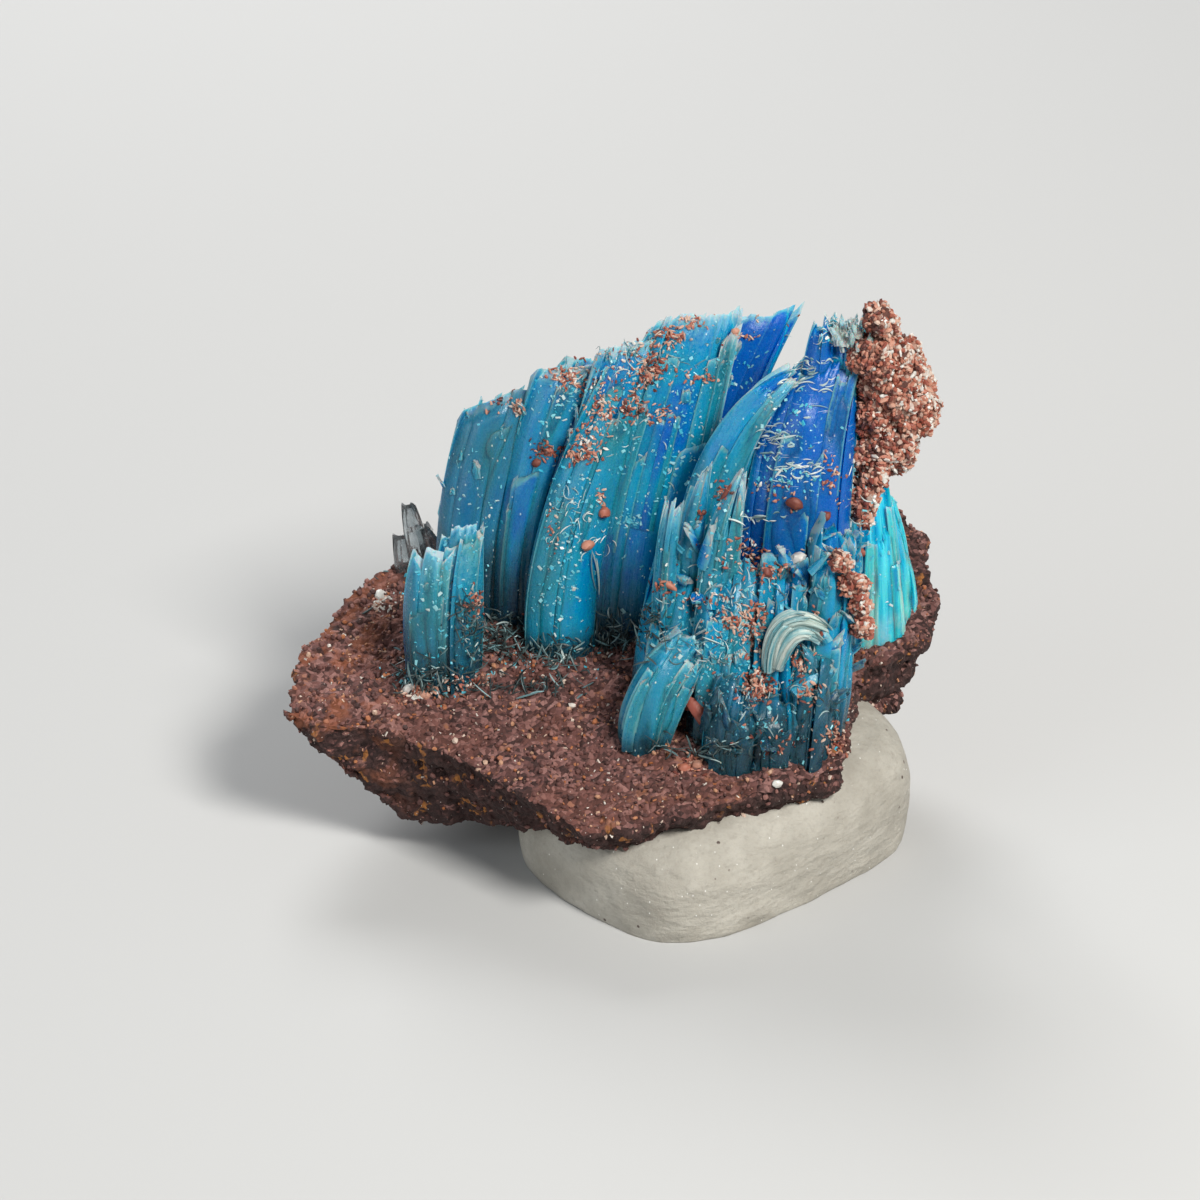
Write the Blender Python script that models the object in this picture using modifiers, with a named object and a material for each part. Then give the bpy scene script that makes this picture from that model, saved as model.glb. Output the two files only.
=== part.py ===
"""Chalcanthite on red-brown sandstone, standing on a lump of mounting putty.

Curved, fibrous copper sulphate blades grow out of a slab of iron-stained sandstone. A crust of
the same grains rides on top of the right-hand cluster, and a flat-bottomed lump of grey putty
holds the slab level. Lengths are in metres, +X is to the right, +Y away from the front, +Z up,
and the origin is the centre of the putty's flat underside.
"""

import math
import random

import bmesh
import bpy
from mathutils import Matrix, Vector

MM = 0.001
GAP = 0.3 * MM

# The putty: a rounded block with its long side turned to the right and back.
PUTTY_LENGTH = 21.0 * MM
PUTTY_WIDTH = 16.4 * MM
PUTTY_HEIGHT = 7.5 * MM
PUTTY_TURN = math.radians(41.0)
PUTTY_SUNK = 2.6 * MM

# The slab: its upper face is a plane that falls towards the front.
SLAB_TOP = 8.6 * MM
SLAB_RISE = 0.21
SLAB_SEAT = 5.0 * MM
RIDGE_CENTRE = (9.9 * MM, 10.3 * MM)
RIDGE_HEIGHT = 5.2 * MM
RIDGE_REACH = 2.7 * MM

RED_SANDSTONE = (0.17, 0.065, 0.045)
PUTTY_GREY = (0.48, 0.45, 0.40)
CRUST_BROWN = (0.30, 0.16, 0.11)
SKY_BLUE = (0.05, 0.36, 0.50)
DEEP_BLUE = (0.01, 0.13, 0.52)
BRIGHT_CYAN = (0.02, 0.42, 0.62)
PALE_GREEN = (0.45, 0.56, 0.50)
SMOKY_CLEAR = (0.16, 0.20, 0.22)


def remove_old_objects():
    for obj in list(bpy.data.objects):
        bpy.data.objects.remove(obj)


def new_collection(name):
    collection = bpy.data.collections.new(name)
    bpy.context.scene.collection.children.link(collection)
    return collection


def make_material(name, colour, roughness):
    material = bpy.data.materials.new(name)
    material.use_nodes = True
    shader = material.node_tree.nodes["Principled BSDF"]
    shader.inputs["Base Color"].default_value = (*colour, 1.0)
    shader.inputs["Roughness"].default_value = roughness
    shader.inputs["Metallic"].default_value = 0.0
    material.diffuse_color = (*colour, 1.0)
    return material


def mesh_object(name, bm, collection, material=None):
    mesh = bpy.data.meshes.new(name)
    bmesh.ops.recalc_face_normals(bm, faces=bm.faces)
    bm.to_mesh(mesh)
    bm.free()
    if material is not None:
        mesh.materials.append(material)
    obj = bpy.data.objects.new(name, mesh)
    collection.objects.link(obj)
    return obj


def as_cutter(obj):
    obj.hide_render = True
    obj.display_type = "WIRE"
    return obj


def boolean(obj, operation, tools):
    """Joins the tool objects to obj, or cuts obj with them, one collection at a time."""
    modifier = obj.modifiers.new(operation.lower(), "BOOLEAN")
    modifier.operation = operation
    modifier.operand_type = "COLLECTION"
    modifier.collection = tools
    modifier.solver = "EXACT"
    modifier.use_self = True


def flood(start):
    """Every face that can be reached from one face across edges that only two faces share."""
    found = {start}
    waiting = [start]
    while waiting:
        for edge in waiting.pop().edges:
            if len(edge.link_faces) == 2:
                fresh = [face for face in edge.link_faces if face not in found]
                found.update(fresh)
                waiting.extend(fresh)
    return found


def keep_main_body(obj):
    """Applies the modifiers and keeps the outermost body, without crumbs or sealed bubbles."""
    graph = bpy.context.evaluated_depsgraph_get()
    mesh = bpy.data.meshes.new_from_object(obj.evaluated_get(graph))
    bm = bmesh.new()
    bm.from_mesh(mesh)
    waiting = set(bm.faces)
    bodies = []
    while waiting:
        body = flood(next(iter(waiting)))
        waiting -= body
        corners = [vert.co for face in body for vert in face.verts]
        span = sum(max(c[i] for c in corners) - min(c[i] for c in corners) for i in range(3))
        bodies.append((span, body))
    main = max(bodies, key=lambda entry: entry[0])[1]
    crumbs = [face for face in bm.faces if face not in main]
    bmesh.ops.delete(bm, geom=crumbs, context="FACES")
    bm.to_mesh(mesh)
    bm.free()
    obj.modifiers.clear()
    obj.data = mesh


def slab_top(x, y):
    """Height of the slab's upper face, with the ridge that stands at its right rear corner."""
    away = ((x - RIDGE_CENTRE[0]) ** 2 + (y - RIDGE_CENTRE[1]) ** 2) / RIDGE_REACH**2
    return SLAB_TOP + SLAB_RISE * y + RIDGE_HEIGHT * math.exp(-away)


def along_bow(points, t):
    """Place and heading on the curve that leaves the foot, bows past the middle and meets the tip."""
    foot, middle, tip = points
    handle = 2 * middle - (foot + tip) / 2
    place = (1 - t) ** 2 * foot + 2 * t * (1 - t) * handle + t**2 * tip
    heading = (1 - t) * (handle - foot) + t * (tip - handle)
    return place, heading.normalized()


def width_at(widths, t):
    foot, middle, tip = widths
    return (1 - t) * (1 - 2 * t) * foot + 4 * t * (1 - t) * middle + t * (2 * t - 1) * tip


def blade(name, spine, widths, thick, collection, facing=(0, -1, 0), slant=0.0, jag=0.5,
          cup=0.12, flute=0.16, columns=6, rows=5, grow=0.0, material=None):
    """One curved, fluted crystal blade: a bowed sheet of fibres with a splintered tip.

    spine holds the foot, middle and tip in mm, and widths and thick are in mm too. slant is how
    far the right edge of the tip stands above its middle, jag how uneven the fibre ends are, cup
    how far the edges fall back, and grow makes a fatter twin that cuts a socket.
    """
    chance = random.Random(name)
    points = [Vector(p) * MM for p in spine]
    front = Vector(facing).normalized()
    ends = [chance.uniform(-jag, jag) * MM for _ in range(columns + 1)]
    ridges = [(-1) ** i * flute * chance.uniform(0.5, 1.0) * MM for i in range(columns + 1)]
    bm = bmesh.new()
    bmesh.ops.create_grid(bm, x_segments=columns, y_segments=rows, size=1.0)
    shares = []
    for vert in bm.verts:
        across = vert.co.x
        t = (vert.co.y + 1) / 2
        column = round((across + 1) / 2 * columns)
        place, heading = along_bow(points, t)
        side = heading.cross(front).normalized()
        out = side.cross(heading)
        half = width_at(widths, t) * MM / 2 + grow
        near_tip = max(0.0, (t - 0.55) / 0.45) ** 2
        lift = near_tip * (slant * MM * across + ends[column]) + grow * (2 * t - 1)
        proud = ridges[column] - cup * half * across**2
        vert.co = place + side * (across * half) + heading * lift + out * proud
        shares.append(max(0.35, 1 - 0.45 * across**4 - 0.4 * t**4))
    sheet = mesh_object(name, bm, collection, material)
    group = sheet.vertex_groups.new(name="thickness")
    fullest = thick * MM + 2 * grow
    for index, share in enumerate(shares):
        group.add([index], (share * thick * MM + 2 * grow) / fullest, "REPLACE")
    solid = sheet.modifiers.new("thickness", "SOLIDIFY")
    solid.thickness = fullest
    solid.offset = 0.0
    solid.vertex_group = "thickness"
    return sheet


def fused_blades(name, blades, home, workshop, material, cut_by=None):
    """One crystal node: the first blade with the others joined to it, all from one list."""
    others = bpy.data.collections.new(name + "_joined")
    workshop.children.link(others)
    for number, shape in enumerate(blades[1:], start=1):
        as_cutter(blade(f"{name}_blade_{number}", collection=others, **shape))
    whole = blade(name, collection=home, material=material, **blades[0])
    if len(blades) > 1:
        boolean(whole, "UNION", others)
    if cut_by is not None:
        boolean(whole, "DIFFERENCE", cut_by)
    return whole


def grown_twins(name, blades, workshop, grow=GAP):
    """The same blades made fatter by the gap, to cut room for them out of a neighbour."""
    twins = bpy.data.collections.new(name + "_room")
    workshop.children.link(twins)
    for number, shape in enumerate(blades):
        source = name if number == 0 else f"{name}_blade_{number}"
        as_cutter(blade(source, collection=twins, grow=grow, **shape))
    return twins


# Each crystal is a list of blades, sized in mm. A spine is foot, middle, tip.
LEFT_SHEAF = [
    dict(spine=[(-15.1, 1.7, 8.0), (-15.2, 1.9, 13.2), (-14.7, 2.6, 17.2)], widths=(3.5, 4.0, 3.6),
         thick=1.3, slant=1.3, cup=0.3),
    dict(spine=[(-14.3, 2.8, 8.0), (-14.2, 3.0, 13.4), (-13.9, 3.4, 17.8)], widths=(2.6, 2.8, 2.2),
         thick=1.3, slant=0.5, columns=4),
]
MAIN_FAN = [
    dict(spine=[(-4.9, 6.1, 8.2), (-4.1, 7.0, 17.0), (-1.0, 9.3, 27.9)], widths=(5.0, 6.8, 4.6),
         thick=1.7, slant=0.9, columns=8, rows=8),
    dict(spine=[(-8.4, 4.9, 8.0), (-8.2, 5.3, 15.5), (-5.4, 6.9, 22.4)], widths=(3.9, 3.9, 3.0),
         thick=1.6, slant=0.8, cup=0.25, rows=6),
    dict(spine=[(-7.2, 6.2, 8.2), (-6.6, 7.2, 17.2), (-3.6, 9.0, 27.0)], widths=(3.6, 4.2, 4.2),
         thick=1.9, slant=0.8, rows=7),
    dict(spine=[(-10.4, 7.2, 8.4), (-10.0, 8.1, 16.4), (-6.9, 9.8, 24.4)], widths=(3.6, 4.0, 4.4),
         thick=1.7, slant=0.9, rows=7),
    dict(spine=[(-12.9, 8.2, 8.8), (-12.9, 8.9, 16.6), (-10.6, 10.4, 22.4)], widths=(4.0, 4.6, 4.4),
         thick=1.9, slant=0.9, rows=7),
    dict(spine=[(-8.6, 8.9, 8.6), (-8.4, 9.8, 16.6), (-5.0, 11.2, 24.6)], widths=(7.0, 8.0, 6.6),
         thick=2.2, slant=-1.6, rows=6, facing=(0, 1, 0)),
]
BACK_BLADE = [
    dict(spine=[(-2.6, 9.9, 9.4), (-1.1, 10.6, 18.4), (2.4, 12.1, 26.8)], widths=(3.6, 4.6, 4.0),
         thick=1.4, slant=1.5, jag=0.25, flute=0.1, rows=8),
]
RIGHT_CLUSTER = [
    dict(spine=[(4.4, 2.6, 7.8), (4.5, 4.2, 19.4), (6.3, 7.0, 27.0)], widths=(6.2, 5.8, 4.0),
         thick=3.0, slant=2.6, jag=0.4, rows=8),
    dict(spine=[(-2.6, 0.8, 7.8), (-2.3, 1.6, 12.8), (-1.5, 2.4, 17.6)], widths=(4.4, 3.8, 3.0),
         thick=3.0, jag=0.8, flute=0.3),
    dict(spine=[(0.9, -1.9, 7.4), (1.1, -0.6, 12.6), (1.6, 1.0, 17.4)], widths=(5.2, 5.0, 4.6),
         thick=3.6, jag=0.9, flute=0.3),
    dict(spine=[(4.1, -2.9, 7.2), (4.4, -1.2, 12.6), (4.7, 0.6, 17.2)], widths=(4.8, 4.8, 4.4),
         thick=3.8, jag=0.9, flute=0.3),
    dict(spine=[(5.4, -1.4, 7.2), (6.0, 0.2, 13.4), (6.6, 2.2, 18.6)], widths=(2.6, 3.0, 2.4),
         thick=3.8, jag=0.8, flute=0.3, facing=(0.3, -1, 0)),
    dict(spine=[(-0.6, 3.0, 9.0), (0.0, 4.6, 19.6), (4.2, 5.6, 26.2)], widths=(3.0, 3.2, 1.2),
         thick=1.2, slant=-0.3, jag=0.3, flute=0.1, columns=4, rows=8),
    dict(spine=[(-0.1, 0.4, 13.6), (0.2, 0.4, 18.2), (1.2, 0.6, 22.6)], widths=(1.8, 2.1, 0.5),
         thick=1.0, jag=0.2, flute=0.1, columns=4, rows=6),
    dict(spine=[(-1.6, 1.4, 14.4), (-1.3, 1.4, 19.0), (-0.6, 1.6, 22.6)], widths=(1.2, 1.2, 0.4),
         thick=0.9, jag=0.2, flute=0.1, columns=3, rows=5),
    dict(spine=[(-2.9, 0.7, 13.6), (-2.8, 0.7, 17.6), (-2.4, 0.9, 20.7)], widths=(1.4, 1.2, 1.0),
         thick=0.9, jag=0.3, flute=0.1, columns=3, rows=5),
    dict(spine=[(-4.1, -2.6, 6.8), (-3.4, -2.3, 10.4), (-1.2, -1.5, 13.8)], widths=(2.2, 3.2, 2.2),
         thick=2.4, slant=0.2),
    dict(spine=[(1.5, -4.4, 6.6), (1.6, -4.1, 9.2), (2.0, -3.3, 11.8)], widths=(4.6, 4.8, 4.2),
         thick=1.6, jag=0.5, flute=0.25, rows=5),
    dict(spine=[(4.7, -3.8, 6.8), (5.0, -3.4, 10.0), (5.4, -2.4, 13.4)], widths=(2.6, 2.8, 2.4),
         thick=1.8, jag=0.5, flute=0.25, rows=5),
]
PALE_CURL = [
    dict(spine=[(3.0, -2.6, 12.6), (3.8, -2.9, 15.4), (6.0, -2.6, 14.8)], widths=(1.3, 1.5, 0.7),
         thick=0.9, jag=0.2, flute=0.1, columns=4, rows=8),
]
FAR_SLAB = [
    dict(spine=[(9.1, 5.9, 8.4), (8.9, 6.3, 14.0), (8.6, 7.2, 19.6)], widths=(4.0, 2.9, 1.5),
         thick=2.0, jag=0.2, flute=0.14, columns=4, rows=7, facing=(0.35, -1, 0)),
    dict(spine=[(10.1, 6.9, 9.0), (10.3, 7.0, 12.2), (9.7, 7.4, 15.6)], widths=(2.6, 2.2, 1.2),
         thick=1.7, jag=0.3, flute=0.1, columns=4, rows=5, facing=(0.5, -1, 0)),
]
CLEAR_CRYSTALS = [
    dict(spine=[(-16.2, 11.4, 9.8), (-16.8, 11.4, 13.0), (-17.2, 11.5, 15.4)], widths=(1.5, 1.3, 0.8),
         thick=1.0, jag=0.1, flute=0.06, columns=3, rows=4, cup=0.4),
    dict(spine=[(-17.4, 11.7, 9.8), (-17.6, 11.7, 11.6), (-17.7, 11.8, 13.2)], widths=(1.0, 1.0, 0.9),
         thick=1.0, jag=0.1, flute=0.05, columns=2, rows=3, cup=0.3),
    dict(spine=[(-15.4, 11.2, 10.0), (-15.7, 11.2, 12.0), (-16.3, 11.3, 14.0)], widths=(1.6, 1.3, 0.5),
         thick=0.9, jag=0.1, flute=0.05, columns=3, rows=3, cup=0.3),
]
# The crust: lumps of cemented grains, each a centre and a radius in mm.
CRUST_CAP = [
    ((8.5, 6.2, 29.0), 1.1), ((8.9, 6.2, 27.0), 1.8), ((9.6, 6.7, 25.2), 2.3),
    ((10.6, 6.9, 23.6), 2.0), ((9.8, 6.3, 21.7), 1.7), ((8.7, 5.3, 20.2), 1.2),
    ((8.0, 4.5, 18.6), 0.8), ((11.1, 7.2, 25.4), 1.5),
]
CRUST_STRIP = [
    ((6.6, -1.6, 18.6), 0.8), ((7.2, -1.6, 17.2), 0.9), ((7.6, -1.5, 15.8), 0.8),
    ((7.9, -1.3, 14.4), 0.7),
]

# The slab's rim, front corner first and then round to the left: where the upper edge runs in
# plan, how far the broken side drops below it, and how far in the side's foot lies, all in mm.
SLAB_RIM = [
    ((-7.2, -10.0), 1.6, 0.8), ((-9.8, -7.6), 2.6, 1.4), ((-12.4, -5.4), 4.0, 1.8),
    ((-15.4, -3.1), 5.6, 2.4), ((-19.3, -1.6), 6.2, 2.2), ((-22.0, -1.4), 3.4, 1.6),
    ((-23.8, -0.4), 0.9, 0.6), ((-22.9, 4.9), 2.6, 1.4), ((-21.2, 8.3), 4.4, 1.8),
    ((-19.3, 11.3), 5.0, 2.0), ((-17.0, 14.0), 5.4, 2.2), ((-11.0, 15.8), 5.6, 2.2),
    ((-4.0, 16.2), 5.8, 2.4), ((3.0, 15.2), 6.0, 2.0), ((8.6, 14.0), 6.6, 2.2),
    ((12.2, 11.4), 6.4, 2.0), ((12.7, 8.0), 4.4, 1.6), ((11.4, 5.2), 4.0, 1.2),
    ((8.2, 3.2), 3.4, 0.6), ((7.4, -0.6), 2.6, 0.6), ((6.8, -4.8), 1.6, 0.5),
    ((3.0, -6.3), 2.0, 0.6), ((-1.4, -8.2), 1.8, 0.7),
]


def scaled_ring(bm, ring, centre, share, height):
    """A smaller copy of a ring of points, drawn in towards the centre."""
    verts = []
    for x, y in ring:
        place = Vector((x, y)).lerp(Vector(centre), 1 - share)
        verts.append(bm.verts.new((place.x, place.y, height(place.x, place.y))))
    return verts


def slab(name, collection, material):
    """The sandstone slab: rings of points lofted from the top's middle over the rim to the base."""
    centre = (-6.0 * MM, 3.0 * MM)
    rim = [(x * MM, y * MM) for (x, y), _, _ in SLAB_RIM]
    bm = bmesh.new()
    rings = [scaled_ring(bm, rim, centre, share, slab_top) for share in (0.12, 0.4, 0.7, 0.9, 1.0)]
    for depth in (0.5, 1.0):
        ring = []
        for (x, y), (_, drop, inset) in zip(rim, SLAB_RIM):
            inward = (Vector(centre) - Vector((x, y))).normalized() * inset * MM * depth**1.5
            z = slab_top(x, y) - drop * MM * depth
            ring.append(bm.verts.new((x + inward.x, y + inward.y, z)))
        rings.append(ring)
    lower = [(v.co.x, v.co.y) for v in rings[-1]]
    rings.append(scaled_ring(bm, lower, centre, 0.7, lambda x, y: SLAB_SEAT - 0.4 * MM))
    rings.append(scaled_ring(bm, lower, centre, 0.2, lambda x, y: SLAB_SEAT))
    for upper, under in zip(rings, rings[1:]):
        for i in range(len(upper)):
            j = (i + 1) % len(upper)
            bm.faces.new((upper[i], upper[j], under[j], under[i]))
    bm.faces.new(rings[0])
    bm.faces.new(rings[-1])
    rock = mesh_object(name, bm, collection, material)
    roughen(rock, voxel=0.9 * MM, lumps=(1.5 * MM, 0.7 * MM), pits=(3.2 * MM, 0.8 * MM), keep=0.22)
    return rock


def cloud_texture(name, kind, size):
    texture = bpy.data.textures.new(name, kind)
    texture.noise_scale = size
    return texture


def roughen(obj, voxel, lumps, pits, keep):
    """Remeshes a shape evenly, pushes it into lumps and pits, and thins the result."""
    even = obj.modifiers.new("even", "REMESH")
    even.mode = "VOXEL"
    even.voxel_size = voxel
    for label, kind, (size, strength) in (("lumps", "CLOUDS", lumps), ("pits", "VORONOI", pits)):
        push = obj.modifiers.new(label, "DISPLACE")
        push.texture = cloud_texture(f"{obj.name}_{label}", kind, size)
        push.texture_coords = "LOCAL"
        push.strength = strength
        push.mid_level = 0.5
    thin = obj.modifiers.new("thin", "DECIMATE")
    thin.ratio = keep


def crust(name, lumps, collection, material):
    """A crust: balls of cemented grains melted together and roughened."""
    bm = bmesh.new()
    for (x, y, z), radius in lumps:
        place = Matrix.Translation(Vector((x, y, z)) * MM)
        bmesh.ops.create_icosphere(bm, subdivisions=2, radius=radius * MM, matrix=place)
    grains = mesh_object(name, bm, collection, material)
    roughen(grains, voxel=0.42 * MM, lumps=(0.9 * MM, 0.5 * MM), pits=(1.2 * MM, 0.4 * MM), keep=0.34)
    return grains


def putty(name, collection, material):
    """The lump of putty: a rounded block whose top was pressed down with the slab's tilt."""
    bm = bmesh.new()
    bmesh.ops.create_cube(bm, size=1.0)
    bmesh.ops.scale(bm, vec=(PUTTY_LENGTH, PUTTY_WIDTH, PUTTY_HEIGHT + PUTTY_SUNK), verts=bm.verts)
    bmesh.ops.translate(bm, vec=(0, 0, (PUTTY_HEIGHT - PUTTY_SUNK) / 2), verts=bm.verts)
    bmesh.ops.rotate(bm, matrix=Matrix.Rotation(PUTTY_TURN, 3, "Z"), verts=bm.verts)
    for vert in bm.verts:
        if vert.co.z > 0:
            vert.co.z += SLAB_RISE * vert.co.y
    crease = bm.edges.layers.float.new("crease_edge")
    for edge in bm.edges:
        edge[crease] = 0.3
    lump = mesh_object(name, bm, collection, material)
    round_off = lump.modifiers.new("round_off", "SUBSURF")
    round_off.levels = 4
    round_off.render_levels = 4
    knead = lump.modifiers.new("knead", "DISPLACE")
    knead.texture = cloud_texture("knead", "CLOUDS", 5 * MM)
    knead.texture_coords = "LOCAL"
    knead.strength = 0.5 * MM
    thin = lump.modifiers.new("thin", "DECIMATE")
    thin.ratio = 0.32
    return lump


def table_cutter(collection):
    """The table that the putty was pressed on: everything below the origin's height."""
    bm = bmesh.new()
    bmesh.ops.create_cube(bm, size=60 * MM)
    bmesh.ops.translate(bm, vec=(0, 0, -30 * MM), verts=bm.verts)
    return as_cutter(mesh_object("table", bm, collection))


def swollen_copy(obj, collection, grow=GAP):
    """A copy of a piece, as it is so far, pushed outwards by the gap, to cut its neighbour."""
    twin = as_cutter(obj.copy())
    twin.name = obj.name + "_swollen"
    collection.objects.link(twin)
    swell = twin.modifiers.new("swell", "DISPLACE")
    swell.strength = grow
    swell.mid_level = 0.0
    return twin


def build():
    remove_old_objects()
    home = new_collection("chalcanthite_specimen")
    workshop = new_collection("cutters")
    sky_blue = make_material("sky_blue_crystal", SKY_BLUE, 0.3)
    deep_blue = make_material("deep_blue_crystal", DEEP_BLUE, 0.25)
    cyan = make_material("bright_cyan_crystal", BRIGHT_CYAN, 0.3)
    pale = make_material("pale_green_crystal", PALE_GREEN, 0.45)
    smoky = make_material("smoky_clear_crystal", SMOKY_CLEAR, 0.1)
    red = make_material("red_sandstone", RED_SANDSTONE, 0.95)
    brown = make_material("crust", CRUST_BROWN, 0.95)
    grey = make_material("putty", PUTTY_GREY, 0.6)

    rooted = {
        "main_fan": (MAIN_FAN, sky_blue),
        "left_sheaf": (LEFT_SHEAF, sky_blue),
        "back_blade": (BACK_BLADE, deep_blue),
        "right_cluster": (RIGHT_CLUSTER, sky_blue),
        "far_slab": (FAR_SLAB, cyan),
        "clear_crystals": (CLEAR_CRYSTALS, smoky),
    }
    rooms = {}
    for name, (blades, material) in rooted.items():
        fused_blades(name, blades, home, workshop, material)
        rooms[name] = grown_twins(name, blades, workshop)

    rock = slab("sandstone_slab", home, red)
    base_cutters = new_collection("base_cutters")
    swollen_copy(rock, base_cutters)
    table_cutter(base_cutters)
    for name in rooted:
        boolean(rock, "DIFFERENCE", rooms[name])

    curl = fused_blades("pale_curl", PALE_CURL, home, workshop, pale)
    boolean(curl, "DIFFERENCE", rooms["right_cluster"])
    for name, lumps in (("crust_cap", CRUST_CAP), ("crust_strip", CRUST_STRIP)):
        grains = crust(name, lumps, home, brown)
        boolean(grains, "DIFFERENCE", rooms["right_cluster"])
        boolean(grains, "DIFFERENCE", rooms["far_slab"])

    lump = putty("mounting_putty", home, grey)
    boolean(lump, "DIFFERENCE", base_cutters)

    bpy.context.view_layer.update()
    for piece in home.objects:
        keep_main_body(piece)


build()
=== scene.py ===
"""Chalcanthite on red-brown sandstone, held level by a lump of mounting putty."""

import math

import bmesh
import bpy
import numpy as np
from mathutils import Matrix, Vector, noise
from mathutils.bvhtree import BVHTree


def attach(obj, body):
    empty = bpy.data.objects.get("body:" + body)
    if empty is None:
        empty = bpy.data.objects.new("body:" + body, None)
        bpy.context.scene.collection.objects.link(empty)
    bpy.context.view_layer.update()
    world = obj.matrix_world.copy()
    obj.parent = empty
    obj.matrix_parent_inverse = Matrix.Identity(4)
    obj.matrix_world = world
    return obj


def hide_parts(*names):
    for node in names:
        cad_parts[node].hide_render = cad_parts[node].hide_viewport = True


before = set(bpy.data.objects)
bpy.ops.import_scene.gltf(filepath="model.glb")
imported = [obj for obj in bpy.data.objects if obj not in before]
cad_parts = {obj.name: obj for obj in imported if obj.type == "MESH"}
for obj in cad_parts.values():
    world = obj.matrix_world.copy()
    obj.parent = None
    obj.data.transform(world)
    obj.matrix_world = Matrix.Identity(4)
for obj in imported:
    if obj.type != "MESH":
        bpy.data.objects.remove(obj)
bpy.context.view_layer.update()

# The table: a plain pale floor under soft studio light, with the key light from the upper
# right. The camera looks down at the specimen from 28 degrees, as the photograph does.
MM = 0.001
IMAGE_SIDE = 1200
VIEW_TILT = math.radians(28.0)
VIEW_TARGET = Vector((-6.38, 3.0, 13.8)) * MM
VIEW_DISTANCE = 260 * MM
VIEW_HEIGHT = 66 * MM
SENSOR_WIDTH = 36.0
NEAREST_SEEN = 10 * MM
ROOM_COLOUR, ROOM_STRENGTH = (0.94, 0.97, 1.0, 1.0), 0.16
FLOOR_SIDE = 1600 * MM
FLOOR_COLOUR, FLOOR_ROUGHNESS = (0.50, 0.50, 0.495, 1.0), 0.9

scene = bpy.context.scene
scene.view_settings.view_transform = "Standard"

backward = Vector((0.0, -math.cos(VIEW_TILT), math.sin(VIEW_TILT)))
camera_data = bpy.data.cameras.new("camera")
camera_data.sensor_width = SENSOR_WIDTH
camera_data.lens = SENSOR_WIDTH * VIEW_DISTANCE / VIEW_HEIGHT
camera_data.clip_start = NEAREST_SEEN
camera = bpy.data.objects.new("camera", camera_data)
camera.location = VIEW_TARGET + backward * VIEW_DISTANCE
camera.rotation_euler = backward.to_track_quat("Z", "Y").to_euler()
scene.collection.objects.link(camera)
scene.camera = camera

world = bpy.data.worlds.new("studio")
world.use_nodes = True
room = world.node_tree.nodes["Background"]
room.inputs["Color"].default_value = ROOM_COLOUR
room.inputs["Strength"].default_value = ROOM_STRENGTH
scene.world = world


def soft_light(name, place, side, power, colour):
    """A square soft box, aimed at the specimen. Its place and side are in mm."""
    light = bpy.data.lights.new(name, "AREA")
    light.shape = "SQUARE"
    light.size = side * MM
    light.energy = power
    light.color = colour
    lamp = bpy.data.objects.new(name, light)
    lamp.location = Vector(place) * MM
    lamp.rotation_euler = (lamp.location - VIEW_TARGET).to_track_quat("Z", "Y").to_euler()
    scene.collection.objects.link(lamp)


soft_light("key_light", (150, -190, 260), 100, 1.5, (1.0, 0.98, 0.94))
soft_light("fill_light", (-240, -160, 130), 200, 0.28, (0.90, 0.96, 1.0))
soft_light("rim_light", (-60, 230, 200), 120, 0.6, (1.0, 1.0, 1.0))

bpy.ops.mesh.primitive_plane_add(size=FLOOR_SIDE)
floor = bpy.context.object
floor.name = "floor"
floor_paint = bpy.data.materials.new("pale_floor")
floor_paint.use_nodes = True
floor_shader = floor_paint.node_tree.nodes["Principled BSDF"]
floor_shader.inputs["Base Color"].default_value = FLOOR_COLOUR
floor_shader.inputs["Roughness"].default_value = FLOOR_ROUGHNESS
floor.data.materials.append(floor_paint)

# The mounting putty: a lump of grey-beige putty, rolled by hand, pressed flat on the table and
# pressed down by the slab. It is dull and a little kneaded, with dust and specks stuck in it.
PUTTY_LENGTH = 21.0 * MM
PUTTY_WIDTH = 16.4 * MM
PUTTY_HEIGHT = 7.5 * MM
PUTTY_TURN = math.radians(41.0)
PUTTY_SUNK = 2.6 * MM
PUTTY_CREASE = 0.3
PUTTY_ROUNDING = 6
SLAB_RISE = 0.21


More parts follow.
